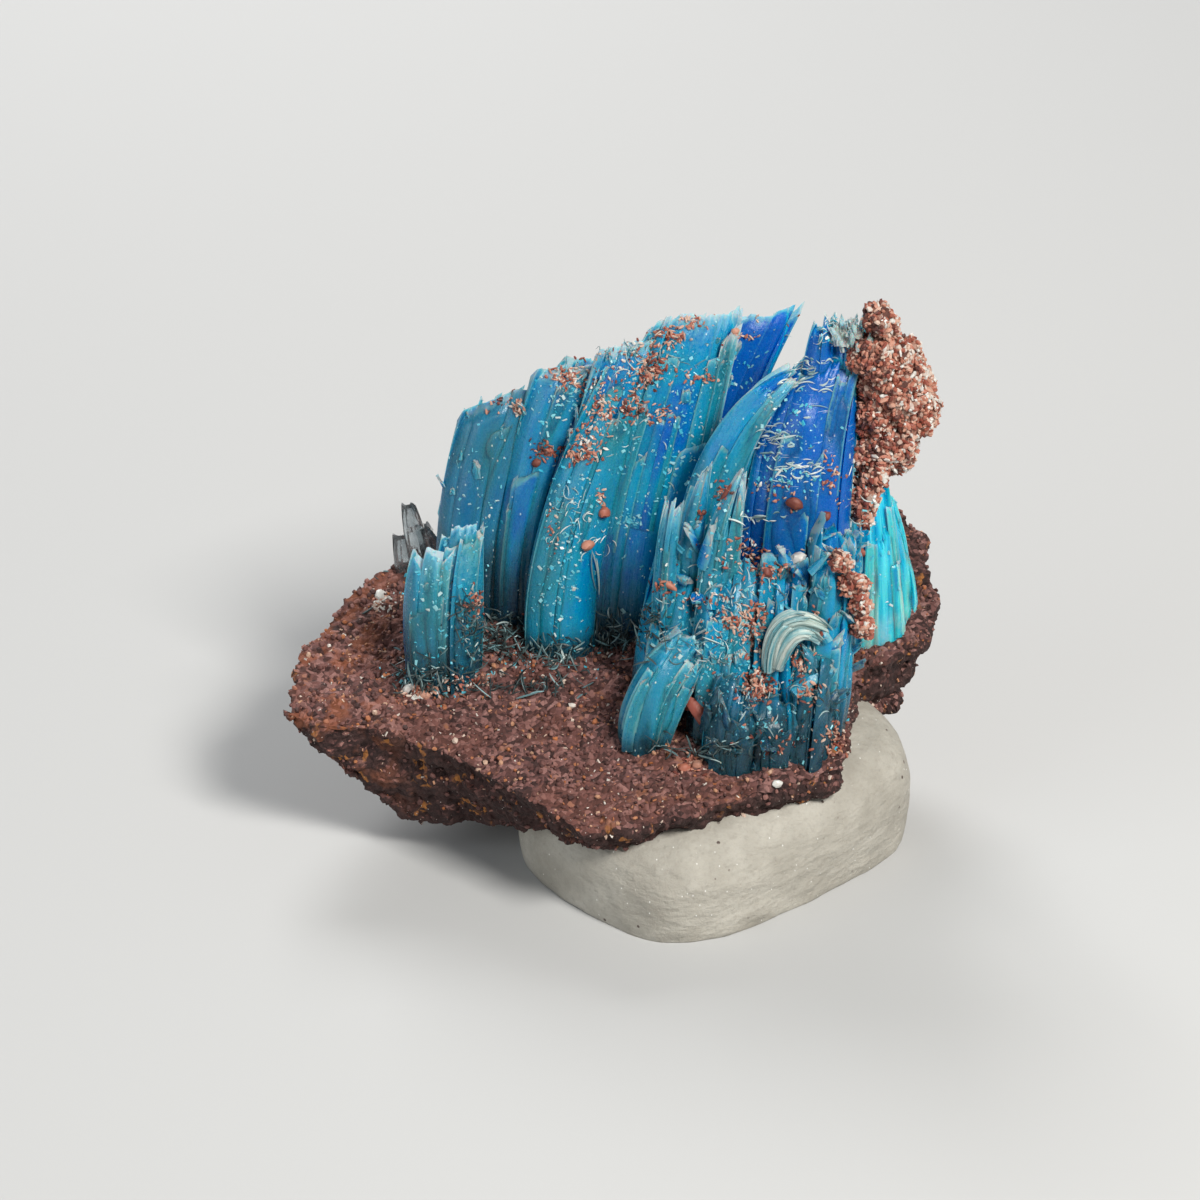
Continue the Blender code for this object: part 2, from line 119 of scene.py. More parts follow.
class Wire:
    """A socket in a material's nodes. Arithmetic on it adds Math nodes."""

    def __init__(self, tree, socket=None):
        self.tree = tree
        self.socket = socket

    def node(self, kind, settings=None, values=None, output=0):
        """Adds any node: its type, its settings, then the values or wires of its sockets."""
        made = self.tree.nodes.new(kind)
        for name, value in (settings or {}).items():
            if name == "stops":
                ramp = made.color_ramp
                while len(ramp.elements) < len(value):
                    ramp.elements.new(0.5)
                for element, (place, colour) in zip(ramp.elements, value):
                    element.position = place
                    element.color = (*colour, 1.0)
            else:
                setattr(made, name, value)
        for name, value in (values or {}).items():
            if isinstance(value, Wire):
                self.tree.links.new(value.socket, made.inputs[name])
            elif isinstance(value, tuple) and made.inputs[name].type == "RGBA":
                made.inputs[name].default_value = (*value, 1.0)
            else:
                made.inputs[name].default_value = value
        return Wire(self.tree, made.outputs[output] if made.outputs else None)

    def maths(self, operation, first, second):
        return self.node("ShaderNodeMath", {"operation": operation}, {0: first, 1: second})

    def __add__(self, other):
        return self.maths("ADD", self, other)

    def __sub__(self, other):
        return self.maths("SUBTRACT", self, other)

    def __rsub__(self, other):
        return self.maths("SUBTRACT", other, self)

    def __mul__(self, other):
        return self.maths("MULTIPLY", self, other)

    __radd__ = __add__
    __rmul__ = __mul__

    def between(self, low, high):
        """0 at low, 1 at high and smooth between them. High may be the smaller one."""
        values = {"Value": self, "From Min": low, "From Max": high}
        return self.node("ShaderNodeMapRange", {"interpolation_type": "SMOOTHSTEP"}, values)

    def blend(self, first, second):
        """The first colour where this wire is 0, the second where it is 1."""
        settings = {"data_type": "RGBA", "clamp_factor": True}
        return self.node("ShaderNodeMix", settings, {0: self, 6: first, 7: second}, output=2)

    def ramp(self, *stops):
        return self.node("ShaderNodeValToRGB", {"stops": stops}, {"Fac": self})

    def stretched(self, stretch):
        """This vector, multiplied side by side."""
        return self.node("ShaderNodeVectorMath", {"operation": "MULTIPLY"}, {0: self, 1: stretch})

    def place(self, stretch=(1.0, 1.0, 1.0)):
        """The point on the object in mm, stretched."""
        point = self.node("ShaderNodeTexCoord", output="Object")
        return point.stretched(tuple(share / MM for share in stretch))

    def side(self, axis):
        """One side of this vector: X, Y or Z."""
        return self.node("ShaderNodeSeparateXYZ", {}, {0: self}, axis)

    def noise(self, where, scale, detail=2.0, rough=0.5):
        values = {"Vector": where, "Scale": scale, "Detail": detail, "Roughness": rough}
        return self.node("ShaderNodeTexNoise", {}, values)

    def cells(self, where, scale, output="Distance"):
        values = {"Vector": where, "Scale": scale}
        return self.node("ShaderNodeTexVoronoi", {}, values, output)

    def cell_tone(self, where, scale):
        """One random value for each cell."""
        cell = self.cells(where, scale, "Color")
        return self.node("ShaderNodeSeparateColor", {}, {0: cell})

    def stored(self, name, output="Fac"):
        """A value kept on the mesh under this name."""
        return self.node("ShaderNodeAttribute", {"attribute_name": name}, output=output)

    def bump(self, strength, depth, normal=None):
        values = {"Height": self, "Strength": strength, "Distance": depth * MM}
        if normal is not None:
            values["Normal"] = normal
        return self.node("ShaderNodeBump", {}, values)


def new_material(name):
    material = bpy.data.materials.new(name)
    material.use_nodes = True
    material.node_tree.nodes.clear()
    return material, Wire(material.node_tree)


def set_surface(wire, values):
    shader = wire.node("ShaderNodeBsdfPrincipled", {}, values)
    wire.node("ShaderNodeOutputMaterial", {}, {"Surface": shader})


def push(piece, name, kind, size, strength):
    """Pushes the surface in and out by a texture. The texture's size and the push are in mm."""
    texture = bpy.data.textures.new(f"{piece.name}_{name}", kind)
    texture.noise_scale = size * MM
    displace = piece.modifiers.new(name, "DISPLACE")
    displace.texture = texture
    displace.texture_coords = "LOCAL"
    displace.strength = strength * MM


def add_piece(name, mesh, material, slot, *nodes):
    """Links a piece, fixes it to the specimen, and lets it stand for its CAD nodes."""
    mesh.materials.append(material)
    piece = bpy.data.objects.new(name, mesh)
    scene.collection.objects.link(piece)
    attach(piece, "root")
    if nodes:
        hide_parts(*nodes)
    return piece


def finished_mesh(piece):
    """Applies a piece's modifiers."""
    graph = bpy.context.evaluated_depsgraph_get()
    mesh = bpy.data.meshes.new_from_object(piece.evaluated_get(graph))
    piece.modifiers.clear()
    piece.data = mesh
    return mesh


putty_paint, w = new_material("putty")
point = w.place()
mottle = w.noise(point, 0.35, 3.0)
dust = w.noise(point, 3.0, 4.0, 0.7)
specks = w.cells(point, 1.1).between(0.13, 0.09)
# Painted highlight: small near-white glints painted into the putty's colour.
painted_glints = w.cells(w.place((1.3, 1.1, 0.9)), 1.6).between(0.09, 0.06)
putty_colour = mottle.ramp((0.3, (0.35, 0.325, 0.275)), (0.7, (0.49, 0.465, 0.405)))
putty_colour = (dust.between(0.45, 0.75) * 0.5).blend(putty_colour, (0.30, 0.27, 0.23))
speckled = specks * w.noise(point, 0.8).between(0.5, 0.62)
putty_colour = speckled.blend(putty_colour, (0.09, 0.06, 0.05))
putty_colour = (painted_glints * 0.8).blend(putty_colour, (0.85, 0.85, 0.82))
folds = w.noise(w.place((0.5, 0.5, 1.4)), 0.8, 3.0).bump(0.5, 0.6)
set_surface(w, {
    "Base Color": putty_colour,
    "Roughness": 0.62 - 0.22 * dust.between(0.5, 0.3),
    "Normal": w.noise(point, 4.0, 5.0, 0.75).bump(0.7, 0.14, folds),
    "Subsurface Weight": 0.08,
    "Subsurface Radius": (0.6 * MM, 0.5 * MM, 0.4 * MM),
    "Subsurface Scale": 1.0,
})

# A block with softened edges, its upper side sloping as the slab on it does, rounded and kneaded.
lump = bmesh.new()
bmesh.ops.create_cube(lump, size=1.0)
bmesh.ops.scale(lump, vec=(PUTTY_LENGTH, PUTTY_WIDTH, PUTTY_HEIGHT + PUTTY_SUNK), verts=lump.verts)
bmesh.ops.translate(lump, vec=(0, 0, (PUTTY_HEIGHT - PUTTY_SUNK) / 2), verts=lump.verts)
bmesh.ops.rotate(lump, matrix=Matrix.Rotation(PUTTY_TURN, 3, "Z"), verts=lump.verts)
for vert in lump.verts:
    if vert.co.z > 0:
        vert.co.z += SLAB_RISE * vert.co.y
crease = lump.edges.layers.float.new("crease_edge")
for edge in lump.edges:
    edge[crease] = PUTTY_CREASE
putty_mesh = bpy.data.meshes.new("mounting_putty")
lump.to_mesh(putty_mesh)
lump.free()
putty = add_piece("putty_lump", putty_mesh, putty_paint, "putty", "mounting_putty")
round_off = putty.modifiers.new("round_off", "SUBSURF")
round_off.levels = PUTTY_ROUNDING
round_off.render_levels = PUTTY_ROUNDING
push(putty, "knead", "CLOUDS", 5.0, 0.5)
push(putty, "creases", "CLOUDS", 1.5, 0.14)
putty_mesh = finished_mesh(putty)
for vert in putty_mesh.vertices:
    vert.co.z = max(0.0, vert.co.z)
putty_mesh.shade_smooth()

# The sandstone slab: red-brown, iron-stained sandstone, broken off a vein wall. Its grains show
# one by one, the upper face is fairly flat, and the broken sides get painted shade, with ochre specks.
SLAB_TOP = 8.6
SLAB_SEAT = 5.0
SLAB_CENTRE = (-6.0, 3.0)
RIDGE_CENTRE = (9.9, 10.3)
RIDGE_HEIGHT = 5.2
RIDGE_REACH = 2.7
STONE_STEP = 0.18 * MM
# The rim, front corner first and then round to the left, in mm: where the upper edge runs,
# how far the broken side drops, and how far in the side's foot lies.
SLAB_RIM = [
    ((-7.2, -10.0), 1.6, 0.8), ((-9.8, -7.6), 2.6, 1.4), ((-12.4, -5.4), 4.0, 1.8),
    ((-15.4, -3.1), 5.6, 2.4), ((-19.3, -1.6), 6.2, 2.2), ((-22.0, -1.4), 3.4, 1.6),
    ((-23.8, -0.4), 0.9, 0.6), ((-22.9, 4.9), 2.6, 1.4), ((-21.2, 8.3), 4.4, 1.8),
    ((-19.3, 11.3), 5.0, 2.0), ((-17.0, 14.0), 5.4, 2.2), ((-11.0, 15.8), 5.6, 2.2),
    ((-4.0, 16.2), 5.8, 2.4), ((3.0, 15.2), 6.0, 2.0), ((8.6, 14.0), 6.6, 2.2),
    ((12.2, 11.4), 6.4, 2.0), ((12.7, 8.0), 4.4, 1.6), ((11.4, 5.2), 4.0, 1.2),
    ((8.2, 3.2), 3.4, 0.6), ((7.4, -0.6), 2.6, 0.6), ((6.8, -4.8), 1.6, 0.5),
    ((3.0, -6.3), 2.0, 0.6), ((-1.4, -8.2), 1.8, 0.7),
]


def slab_top(x, y):
    """Height of the slab's upper face, with the ridge at its right rear corner, in mm."""
    away = ((x - RIDGE_CENTRE[0]) ** 2 + (y - RIDGE_CENTRE[1]) ** 2) / RIDGE_REACH**2
    return SLAB_TOP + SLAB_RISE * y + RIDGE_HEIGHT * math.exp(-away)


def drawn_in(ring, share, height):
    """A smaller ring towards the slab's centre."""
    centre = Vector(SLAB_CENTRE)
    places = [centre.lerp(Vector(point[:2]), share) for point in ring]
    return [(p.x, p.y, height(p.x, p.y)) for p in places]


# Rings from the middle of the upper face out to the rim, down the side and in under the slab.
rim = [place for place, _, _ in SLAB_RIM]
rings = [drawn_in(rim, share, slab_top) for share in (0.12, 0.4, 0.7, 0.9, 1.0)]
for depth in (0.5, 1.0):
    side = []
    for (x, y), drop, inset in SLAB_RIM:
        inward = (Vector(SLAB_CENTRE) - Vector((x, y))).normalized() * inset * depth**1.5
        side.append((x + inward.x, y + inward.y, slab_top(x, y) - drop * depth))
    rings.append(side)
rings.append(drawn_in(rings[-1], 0.7, lambda x, y: SLAB_SEAT - 0.4))
rings.append(drawn_in(rings[-2], 0.2, lambda x, y: SLAB_SEAT))

loft = bmesh.new()
loops = [[loft.verts.new(Vector(point) * MM) for point in ring] for ring in rings]
for upper, under in zip(loops, loops[1:]):
    for i in range(len(upper)):
        j = (i + 1) % len(upper)
        loft.faces.new((upper[i], upper[j], under[j], under[i]))
loft.faces.new(loops[0])
loft.faces.new(loops[-1])
bmesh.ops.recalc_face_normals(loft, faces=loft.faces)
slab_mesh = bpy.data.meshes.new("sandstone_slab")
loft.to_mesh(slab_mesh)
loft.free()

sandstone, w = new_material("red_sandstone")
point = w.place()
grain = w.cell_tone(point, 3.4)
grain_edge = w.cells(point, 3.4)
broad = w.noise(point, 0.22, 3.0)
facing_up = w.node("ShaderNodeNewGeometry", output="Normal").side("Z")
shaded_broken_sides = facing_up.between(0.75, 0.2)
stone = grain.ramp(
    (0.10, (0.042, 0.018, 0.016)), (0.40, (0.105, 0.042, 0.036)),
    (0.68, (0.165, 0.070, 0.062)), (0.93, (0.30, 0.150, 0.130)))
stone = (broad.between(0.45, 0.62) * 0.4).blend(stone, (0.16, 0.052, 0.034))
# Painted shade: faces that turn away from up are darkened almost to black.
stone = (shaded_broken_sides * 0.86).blend(stone, (0.022, 0.009, 0.008))
ochre = w.noise(point, 0.9, 3.0).between(0.58, 0.66) * grain.between(0.4, 0.7)
stone = (ochre * (0.25 + 0.6 * shaded_broken_sides)).blend(stone, (0.42, 0.16, 0.035))
rust = point.side("X").between(-15.5, -21.0) * w.noise(point, 0.7, 3.0).between(0.46, 0.62)
stone = (rust * 0.55).blend(stone, (0.30, 0.09, 0.036))
# Painted glints: small pale specks on the stone, with lower roughness there.
painted_glitter = w.cells(w.place((1.0, 1.2, 0.9)), 2.6).between(0.085, 0.05)
stone = (painted_glitter * 0.85).blend(stone, (0.62, 0.52, 0.47))
set_surface(w, {
    "Base Color": stone,
    "Roughness": 0.92 - 0.6 * painted_glitter,
    "Normal": (w.noise(point, 7.0, 3.0, 0.7) - grain_edge * 1.3).bump(0.9, 0.10),
})

slab = add_piece("sandstone_rock", slab_mesh, sandstone, "red_sandstone", "sandstone_slab")
even = slab.modifiers.new("even", "REMESH")
even.mode = "VOXEL"
even.voxel_size = STONE_STEP
slab_mesh = finished_mesh(slab)

# Beds of sand stand out on the broken sides, most of all behind, where the rim is chipped too.
BACK_STARTS, BACK_FADE = 2.0, 6.0
CHIPS_START, CHIPS_FADE, CHIP_DEPTH = 11.5, 2.5, 1.6
MOST_OUTWARD = 0.15
points = np.empty(len(slab_mesh.vertices) * 3)
facing = np.empty_like(points)
slab_mesh.vertices.foreach_get("co", points)
slab_mesh.vertices.foreach_get("normal", facing)
points, facing = points.reshape(-1, 3) / MM, facing.reshape(-1, 3)
beds = np.array([
    noise.noise((0.14 * x, 0.14 * y, 0.95 * z)) + 0.8 * noise.noise((0.33 * x, 0.33 * y, 0.33 * z))
    for x, y, z in points])
chips = np.array([noise.noise((0.4 * x, 0.4 * y, 3.0)) for x, y, _ in points])
behind = np.clip((points[:, 1] - BACK_STARTS) / BACK_FADE, 0, 1)
pushed = np.minimum(MOST_OUTWARD, (0.3 + 0.7 * behind) * (1.5 * beds - 0.5))
at_rim = np.clip((points[:, 1] - CHIPS_START) / CHIPS_FADE, 0, 1)
points = points + facing * (pushed * (1 - np.abs(facing[:, 2])))[:, None]
points[:, 2] -= CHIP_DEPTH * np.clip(chips, 0, 1) * at_rim * np.clip(facing[:, 2], 0, 1)
slab_mesh.vertices.foreach_set("co", (points * MM).ravel())
slab_mesh.update()
push(slab, "lumps", "CLOUDS", 1.5, 0.7)
push(slab, "pits", "VORONOI", 3.2, 0.8)
push(slab, "grit", "CLOUDS", 0.45, 0.34)
push(slab, "grains", "VORONOI", 0.36, -0.2)
slab_mesh = finished_mesh(slab)


def measure(mesh):
    """Centre, normal and area of every face of a mesh."""
    count = len(mesh.polygons)
    centres, normals, areas = np.empty(count * 3), np.empty(count * 3), np.empty(count)
    mesh.polygons.foreach_get("center", centres)
    mesh.polygons.foreach_get("normal", normals)
    mesh.polygons.foreach_get("area", areas)
    return centres.reshape(-1, 3), normals.reshape(-1, 3), areas


def scattered(mesh, count, chance, weight=None):
    """Random places on a mesh, and the normals there. Weight says which places get more."""
    centres, normals, areas = measure(mesh)
    share = areas if weight is None else areas * weight(centres / MM, normals)
    pick = chance.choice(len(areas), size=count, p=share / share.sum())
    return centres[pick], normals[pick]


def random_turns(count, chance):
    """Random rotation matrices."""
    a, b, c, d = chance.normal(size=(4, count))
    length = np.sqrt(a * a + b * b + c * c + d * d)
    a, b, c, d = a / length, b / length, c / length, d / length
    rows = [[1 - 2 * (c * c + d * d), 2 * (b * c - a * d), 2 * (b * d + a * c)],
            [2 * (b * c + a * d), 1 - 2 * (b * b + d * d), 2 * (c * d - a * b)],
            [2 * (b * d - a * c), 2 * (c * d + a * b), 1 - 2 * (b * b + c * c)]]
    return np.moveaxis(np.array(rows), 2, 0)


def ball_of_faces(subdivisions):
    """Points and faces of a small faceted ball."""
    ball = bmesh.new()
    bmesh.ops.create_icosphere(ball, subdivisions=subdivisions, radius=1.0)
    points = np.array([vert.co[:] for vert in ball.verts])
    faces = np.array([[vert.index for vert in face.verts] for face in ball.faces])
    ball.free()
    return points, faces


def copies(base, turns, sizes, places, chance, rough=0.2):
    """Every copy of a base shape, each jittered, sized in three directions, turned and placed."""
    points, faces = base
    shapes = points[None] * (1 + rough * chance.uniform(-1, 1, (len(places), len(points), 1)))
    shapes = np.einsum("nij,nkj->nki", turns, shapes * sizes[:, None, :])
    shapes = shapes + places[:, None, :]
    steps = np.arange(len(places))[:, None, None] * len(points)
    return shapes.reshape(-1, 3), (faces[None] + steps).reshape(-1, faces.shape[1])


def chip_of_faces():
    """Points and faces of a small block, for chips with flat glinting sides."""
    ring = ((-1, -1), (1, -1), (1, 1), (-1, 1))
    points = np.array([(x, y, z) for z in (-1, 1) for x, y in ring], float)
    sides = [(0, 1, 5, 4), (1, 2, 6, 5), (2, 3, 7, 6), (3, 0, 4, 7)]
    return points, np.array([(3, 2, 1, 0), (4, 5, 6, 7), *sides])


def mesh_of(name, points, faces, smooth_under=None, **values):
    """A mesh from arrays, with values kept on its points. Edges under the angle are smoothed."""
    mesh = bpy.data.meshes.new(name)
    mesh.from_pydata(points.tolist(), [], faces.tolist())
    for label, value in values.items():
        kind = "FLOAT_VECTOR" if value.ndim == 2 else "FLOAT"
        kept = mesh.attributes.new(label, kind, "POINT")
        kept.data.foreach_set("vector" if value.ndim == 2 else "value", value.ravel())
    if smooth_under is not None:
        mesh.shade_smooth()
        mesh.set_sharp_from_angle(angle=math.radians(smooth_under))
    mesh.update()
    return mesh


def loose_bits(name, places, turns, sizes, tones, chance, rough=0.25):
    """A mesh of faceted bits. Sizes are full lengths in mm, three a bit."""
    base = ball_of_faces(1)
    points, faces = copies(base, turns, sizes / 2 * MM, places, chance, rough)
    return mesh_of(name, points, faces, tone=np.repeat(tones, len(base[0])))


# Loose sand grains, sunk a quarter deep, most of them on the upper face.
SAND_GRAINS = 2600
chance = np.random.default_rng(11)
places, normals = scattered(slab_mesh, SAND_GRAINS, chance, lambda p, n: 0.22 + (n[:, 2] > 0.3))
sizes = chance.uniform(0.16, 0.34, SAND_GRAINS)
# Grains on steep and downward faces get darker tones: painted shade, as on the slab's sides.
tones = chance.beta(1.2, 2.2, SAND_GRAINS) * (0.6 + 0.4 * np.clip(normals[:, 2] * 2, 0, 1))
loose_grain, w = new_material("loose_grains")
tone = w.stored("tone")
grain_colour = tone.ramp(
    (0.00, (0.050, 0.020, 0.017)), (0.30, (0.15, 0.060, 0.050)), (0.50, (0.26, 0.12, 0.10)),
    (0.66, (0.40, 0.13, 0.04)), (0.80, (0.50, 0.30, 0.20)), (0.93, (0.62, 0.56, 0.50)))
set_surface(w, {
    "Base Color": grain_colour,
    "Roughness": 0.75 - 0.4 * tone.between(0.7, 0.95),
    "Normal": w.noise(w.place(), 9.0, 2.0).bump(0.5, 0.04),
})
sizes = sizes[:, None] * (1 + 0.35 * chance.uniform(-1, 1, (SAND_GRAINS, 3)))
seats = places + normals * sizes.mean(axis=1, keepdims=True) / 4 * MM
turns = random_turns(SAND_GRAINS, chance)
sand = loose_bits("sand_grains", seats, turns, sizes, tones, chance, 0.2)
add_piece("sand_grains", sand, loose_grain, "red_sandstone")

# Finer crumbs, paler than the grains, lie over all of the upper face.
CRUMBS = 2600
chip_base = chip_of_faces()
places, normals = scattered(slab_mesh, CRUMBS, chance, lambda p, n: 0.1 + (n[:, 2] > 0.3))
length = chance.uniform(0.08, 0.24, CRUMBS)
sizes = np.stack([length, length * chance.uniform(0.25, 0.7, CRUMBS), 0.35 * length], 1)
turns = random_turns(CRUMBS, chance)
points, faces = copies(chip_base, turns, sizes / 2 * MM, places, chance, 0.3)
tones = np.repeat(chance.uniform(0.35, 0.95, CRUMBS), len(chip_base[0]))
crumbs = mesh_of("sand_crumbs", points, faces, tone=tones)
add_piece("sand_crumbs", crumbs, loose_grain, "red_sandstone")

# The left sheaf: a short upright sheaf that stands apart on the left, two blades grown together.
# Copper sulphate grows as laths side by side; they end unevenly, and leaves of them break away.

# Its colours from the clearest blue to dry chalk, then of a dull skin that is partly painted shade,
# and of the painted shade at the foot.
DEEP = (0.0, 0.105, 0.42)
AZURE = (0.0, 0.25, 0.46)
TEAL = (0.016, 0.22, 0.34)
ICE = (0.10, 0.36, 0.46)
CHALK = (0.38, 0.48, 0.50)
DULL_AND_SHADE = (0.022, 0.115, 0.18)
SHADE = (0.006, 0.028, 0.042)
# In mm: how far apart a sheet's columns of points are, and how wide the seam between two laths is.
COLUMN_WIDTH = 0.12
SEAM_WIDTH = 0.11


def unit(vectors):
    return vectors / np.linalg.norm(vectors, axis=-1, keepdims=True)


def along_bow(spine, t):
    """Places and headings on the curve from foot to tip that bows out through the middle."""
    foot, middle, tip = (np.array(point, float) for point in spine)
    handle = 2 * middle - (foot + tip) / 2
    t = t[:, None]
    place = (1 - t) ** 2 * foot + 2 * t * (1 - t) * handle + t**2 * tip
    return place, unit((1 - t) * (handle - foot) + t * (tip - handle))


def waves(chance, u, t, size, sizes):
    """Smooth uneven waves over a sheet: three crossed sines of falling height."""
    total = 0
    for share in (1.0, 0.55, 0.3):
        ahead, up = chance.normal(0, sizes[0] / share, 2), chance.normal(0, sizes[1] / share, 2)
        total = total + share * np.sin(u * ahead[0] + t * up[0] + chance.uniform(0, 6))
    return size * total / 1.85


def sheet(chance, spine, widths, thick, facing=(0, -1, 0), slant=0.0, cup=0.12, jag=0.5, relief=0.09,
          laths=6, rows=34, blue=0.3, pale=0.25, taper=0.5, wave=0.10, part=(-1, 1, 0, 1), raised=0.0,
          dirt=6.0, dull=0.0):
    """One closed sheet of crystal: points, faces, and the values its colour is mixed from.

    Lengths are in mm. The spine runs from foot to tip and the widths are at its three points.
    slant is how far the right edge of the tip stands above its middle, jag how uneven the lath
    ends are, cup how far the edges fall back, relief how far one lath stands above the next,
    taper how much thinner the tip is, and wave how much the sheet sways. part is the stretch of
    the blade that a leaf covers, across and up, and raised how far such a leaf lies off the
    blade's middle. blue is how deep its colour is, pale how chalky its tip, dirt the
    height up to which the foot is painted dark as shade, and dull how far the skin
    is painted a dull grey-blue, partly for a dull skin and partly as painted shade.
    """
    left, right, low, high = part
    width_here = max(widths) * (right - left) / 2

    # Laths of uneven width lie side by side, with two close columns of points at each seam.
    cuts = np.concatenate([[0.0], np.cumsum(np.exp(chance.normal(0, 0.75, laths)))])
    cuts = left + (right - left) * cuts / cuts[-1]
    seam = 0.012 * (right - left) / width_here
    across = np.linspace(left, right, max(5, int(width_here / COLUMN_WIDTH)))
    across = np.unique(np.concatenate([across, cuts[1:-1] - seam, cuts[1:-1] + seam]))
    lath = np.clip(np.searchsorted(cuts, across) - 1, 0, laths - 1)
    seat = (across - (cuts[lath] + cuts[lath + 1]) / 2) / (cuts[lath + 1] - cuts[lath]) * 2

    # The spine, and how wide the blade is along it.
    t = low + (high - low) * np.linspace(0, 1, rows) ** 0.9
    place, heading = along_bow(spine, t)
    side = unit(np.cross(heading, np.array(facing, float)))
    out = np.cross(side, heading)
    foot_width, middle_width, tip_width = widths
    width = ((1 - t) * (1 - 2 * t) * foot_width + 4 * t * (1 - t) * middle_width
             + t * (2 * t - 1) * tip_width)
    half = width[:, None] / 2
    grown = ((t - low) / (high - low))[:, None]
    t = t[:, None]

    # Every lath ends at a height and a slant of its own, with small bites out of its end.
    def lath_ends():
        bites = np.repeat(chance.normal(0, 0.22, len(across) // 3 + 1), 3)[:len(across)]
        ends = chance.normal(0, 0.5, laths)[lath] + chance.normal(0, 0.7, laths)[lath] * seat
        return np.clip(ends + bites + chance.normal(0, 0.07, len(across)), -1.8, 1.5) * jag

    near_tip = np.clip((grown - 0.5) / 0.5, 0, 1) ** 2
    front_lift = near_tip * (slant * across + lath_ends())
    back_lift = front_lift * 0.7 + 0.3 * near_tip * lath_ends()

    # Grooves at the seams, rounded edges, and a step where a layer of a lath has broken off.
    to_edge = np.minimum(across - left, right - across) * half
    to_seam = to_edge
    if laths > 1:
        to_seam = np.abs(across[:, None] - cuts[None, 1:-1]).min(1) * half
    rounding = 0.30 * thick * np.exp(-to_edge / (0.22 * thick + 0.05))
    groove = relief * 0.9 * np.exp(-to_seam / SEAM_WIDTH) + rounding
    broken_at = np.where(chance.random(laths) < 0.45, chance.uniform(0.45, 0.97, laths), 9.0)[lath]
    broken_at = broken_at + chance.normal(0, 0.008, len(across))
    layer = chance.uniform(0.06, 0.26, laths)[lath] * min(1.0, thick)
    step = layer * np.clip((grown - broken_at) / 0.012, 0, 1)
    stand = chance.normal(0, relief, laths)[lath]
    lean = chance.normal(0, relief * 0.7, laths)[lath] * seat

    # The front and the back face, each as far off the middle as the sheet is thick there.
    share = np.maximum(0.30, 1 - 0.35 * across**4 - taper * t**4)
    bevel = np.clip((grown - 0.95) / 0.05, 0, 1) * 0.35 * thick * share
    body = thick * share / 2
    fallen = cup * half * across**2
    spread = half * across
    sway = waves(chance, across, t, wave, (5.0, 7.0))
    back_sway = waves(chance, across, t, wave, (6.0, 6.0))
    ahead = body + stand + lean - groove - step + sway - bevel + raised
    behind = body - stand * 0.4 - groove - sway - 0.4 * bevel + back_sway - raised
    centre = place[:, None, :] + side[:, None, :] * spread[..., None] - out[:, None, :] * fallen[..., None]
    front = centre + heading[:, None, :] * front_lift[..., None] + out[:, None, :] * ahead[..., None]
    back = centre + heading[:, None, :] * back_lift[..., None] - out[:, None, :] * behind[..., None]

    # Faces over the front and the back, down both edges, under the foot and over the tip.
    columns = len(across)
    points = np.concatenate([front.reshape(-1, 3), back.reshape(-1, 3)])
    index = np.arange(rows * columns).reshape(rows, columns)
    other = index + rows * columns
    faces = [np.stack([index[:-1, :-1], index[:-1, 1:], index[1:, 1:], index[1:, :-1]], -1),
             np.stack([other[:-1, :-1], other[1:, :-1], other[1:, 1:], other[:-1, 1:]], -1),
             np.stack([index[:-1, 0], index[1:, 0], other[1:, 0], other[:-1, 0]], -1),
             np.stack([index[:-1, -1], other[:-1, -1], other[1:, -1], index[1:, -1]], -1),
             np.stack([index[0, :-1], other[0, :-1], other[0, 1:], index[0, 1:]], -1),
             np.stack([index[-1, :-1], index[-1, 1:], other[-1, 1:], other[-1, :-1]], -1)]
    faces = np.concatenate([quad.reshape(-1, 4) for quad in faces])

    # Fresh steps are bluer. Edges, seams and tips are chalky. fibre runs along the laths.
    every = np.ones_like(spread)
    bow = along_bow(spine, np.linspace(0, 1, 9))[0]
    length = np.linalg.norm(np.diff(bow, axis=0), axis=1).sum()
    fresh = np.clip(step * 4, 0, 1)
    hue = blue + chance.normal(0, 0.10, laths)[lath] + 0.3 * fresh - 0.12 * np.exp(-to_edge / 0.3)
    chalky = pale * np.clip((t - 0.55) / 0.45, 0, 1) ** 1.6 + 0.55 * np.exp(-to_edge / 0.08)
    chalky = chalky + 0.22 * np.exp(-to_seam / 0.04) + chance.normal(0, 0.05, laths)[lath]
    chalky = chalky + 0.6 * np.clip((grown - 0.97) / 0.03, 0, 1) - 0.25 * fresh
    fibre = np.stack([spread, t * length * every, (lath * 3.7 + left * 11) * every], -1)
    values = {
        "blue": np.tile((hue * every).ravel(), 2),
        "chalk": np.tile(chalky.ravel(), 2),
        # The height above the slab, over the height of the foot's painted shade.
        "rise": (points[:, 2] - SLAB_TOP - SLAB_RISE * points[:, 1]) / dirt,
        "dull": np.full(len(points), float(dull)),
        "fibre": np.tile(fibre.reshape(-1, 3), (2, 1)),
    }
    return points * MM, faces, values


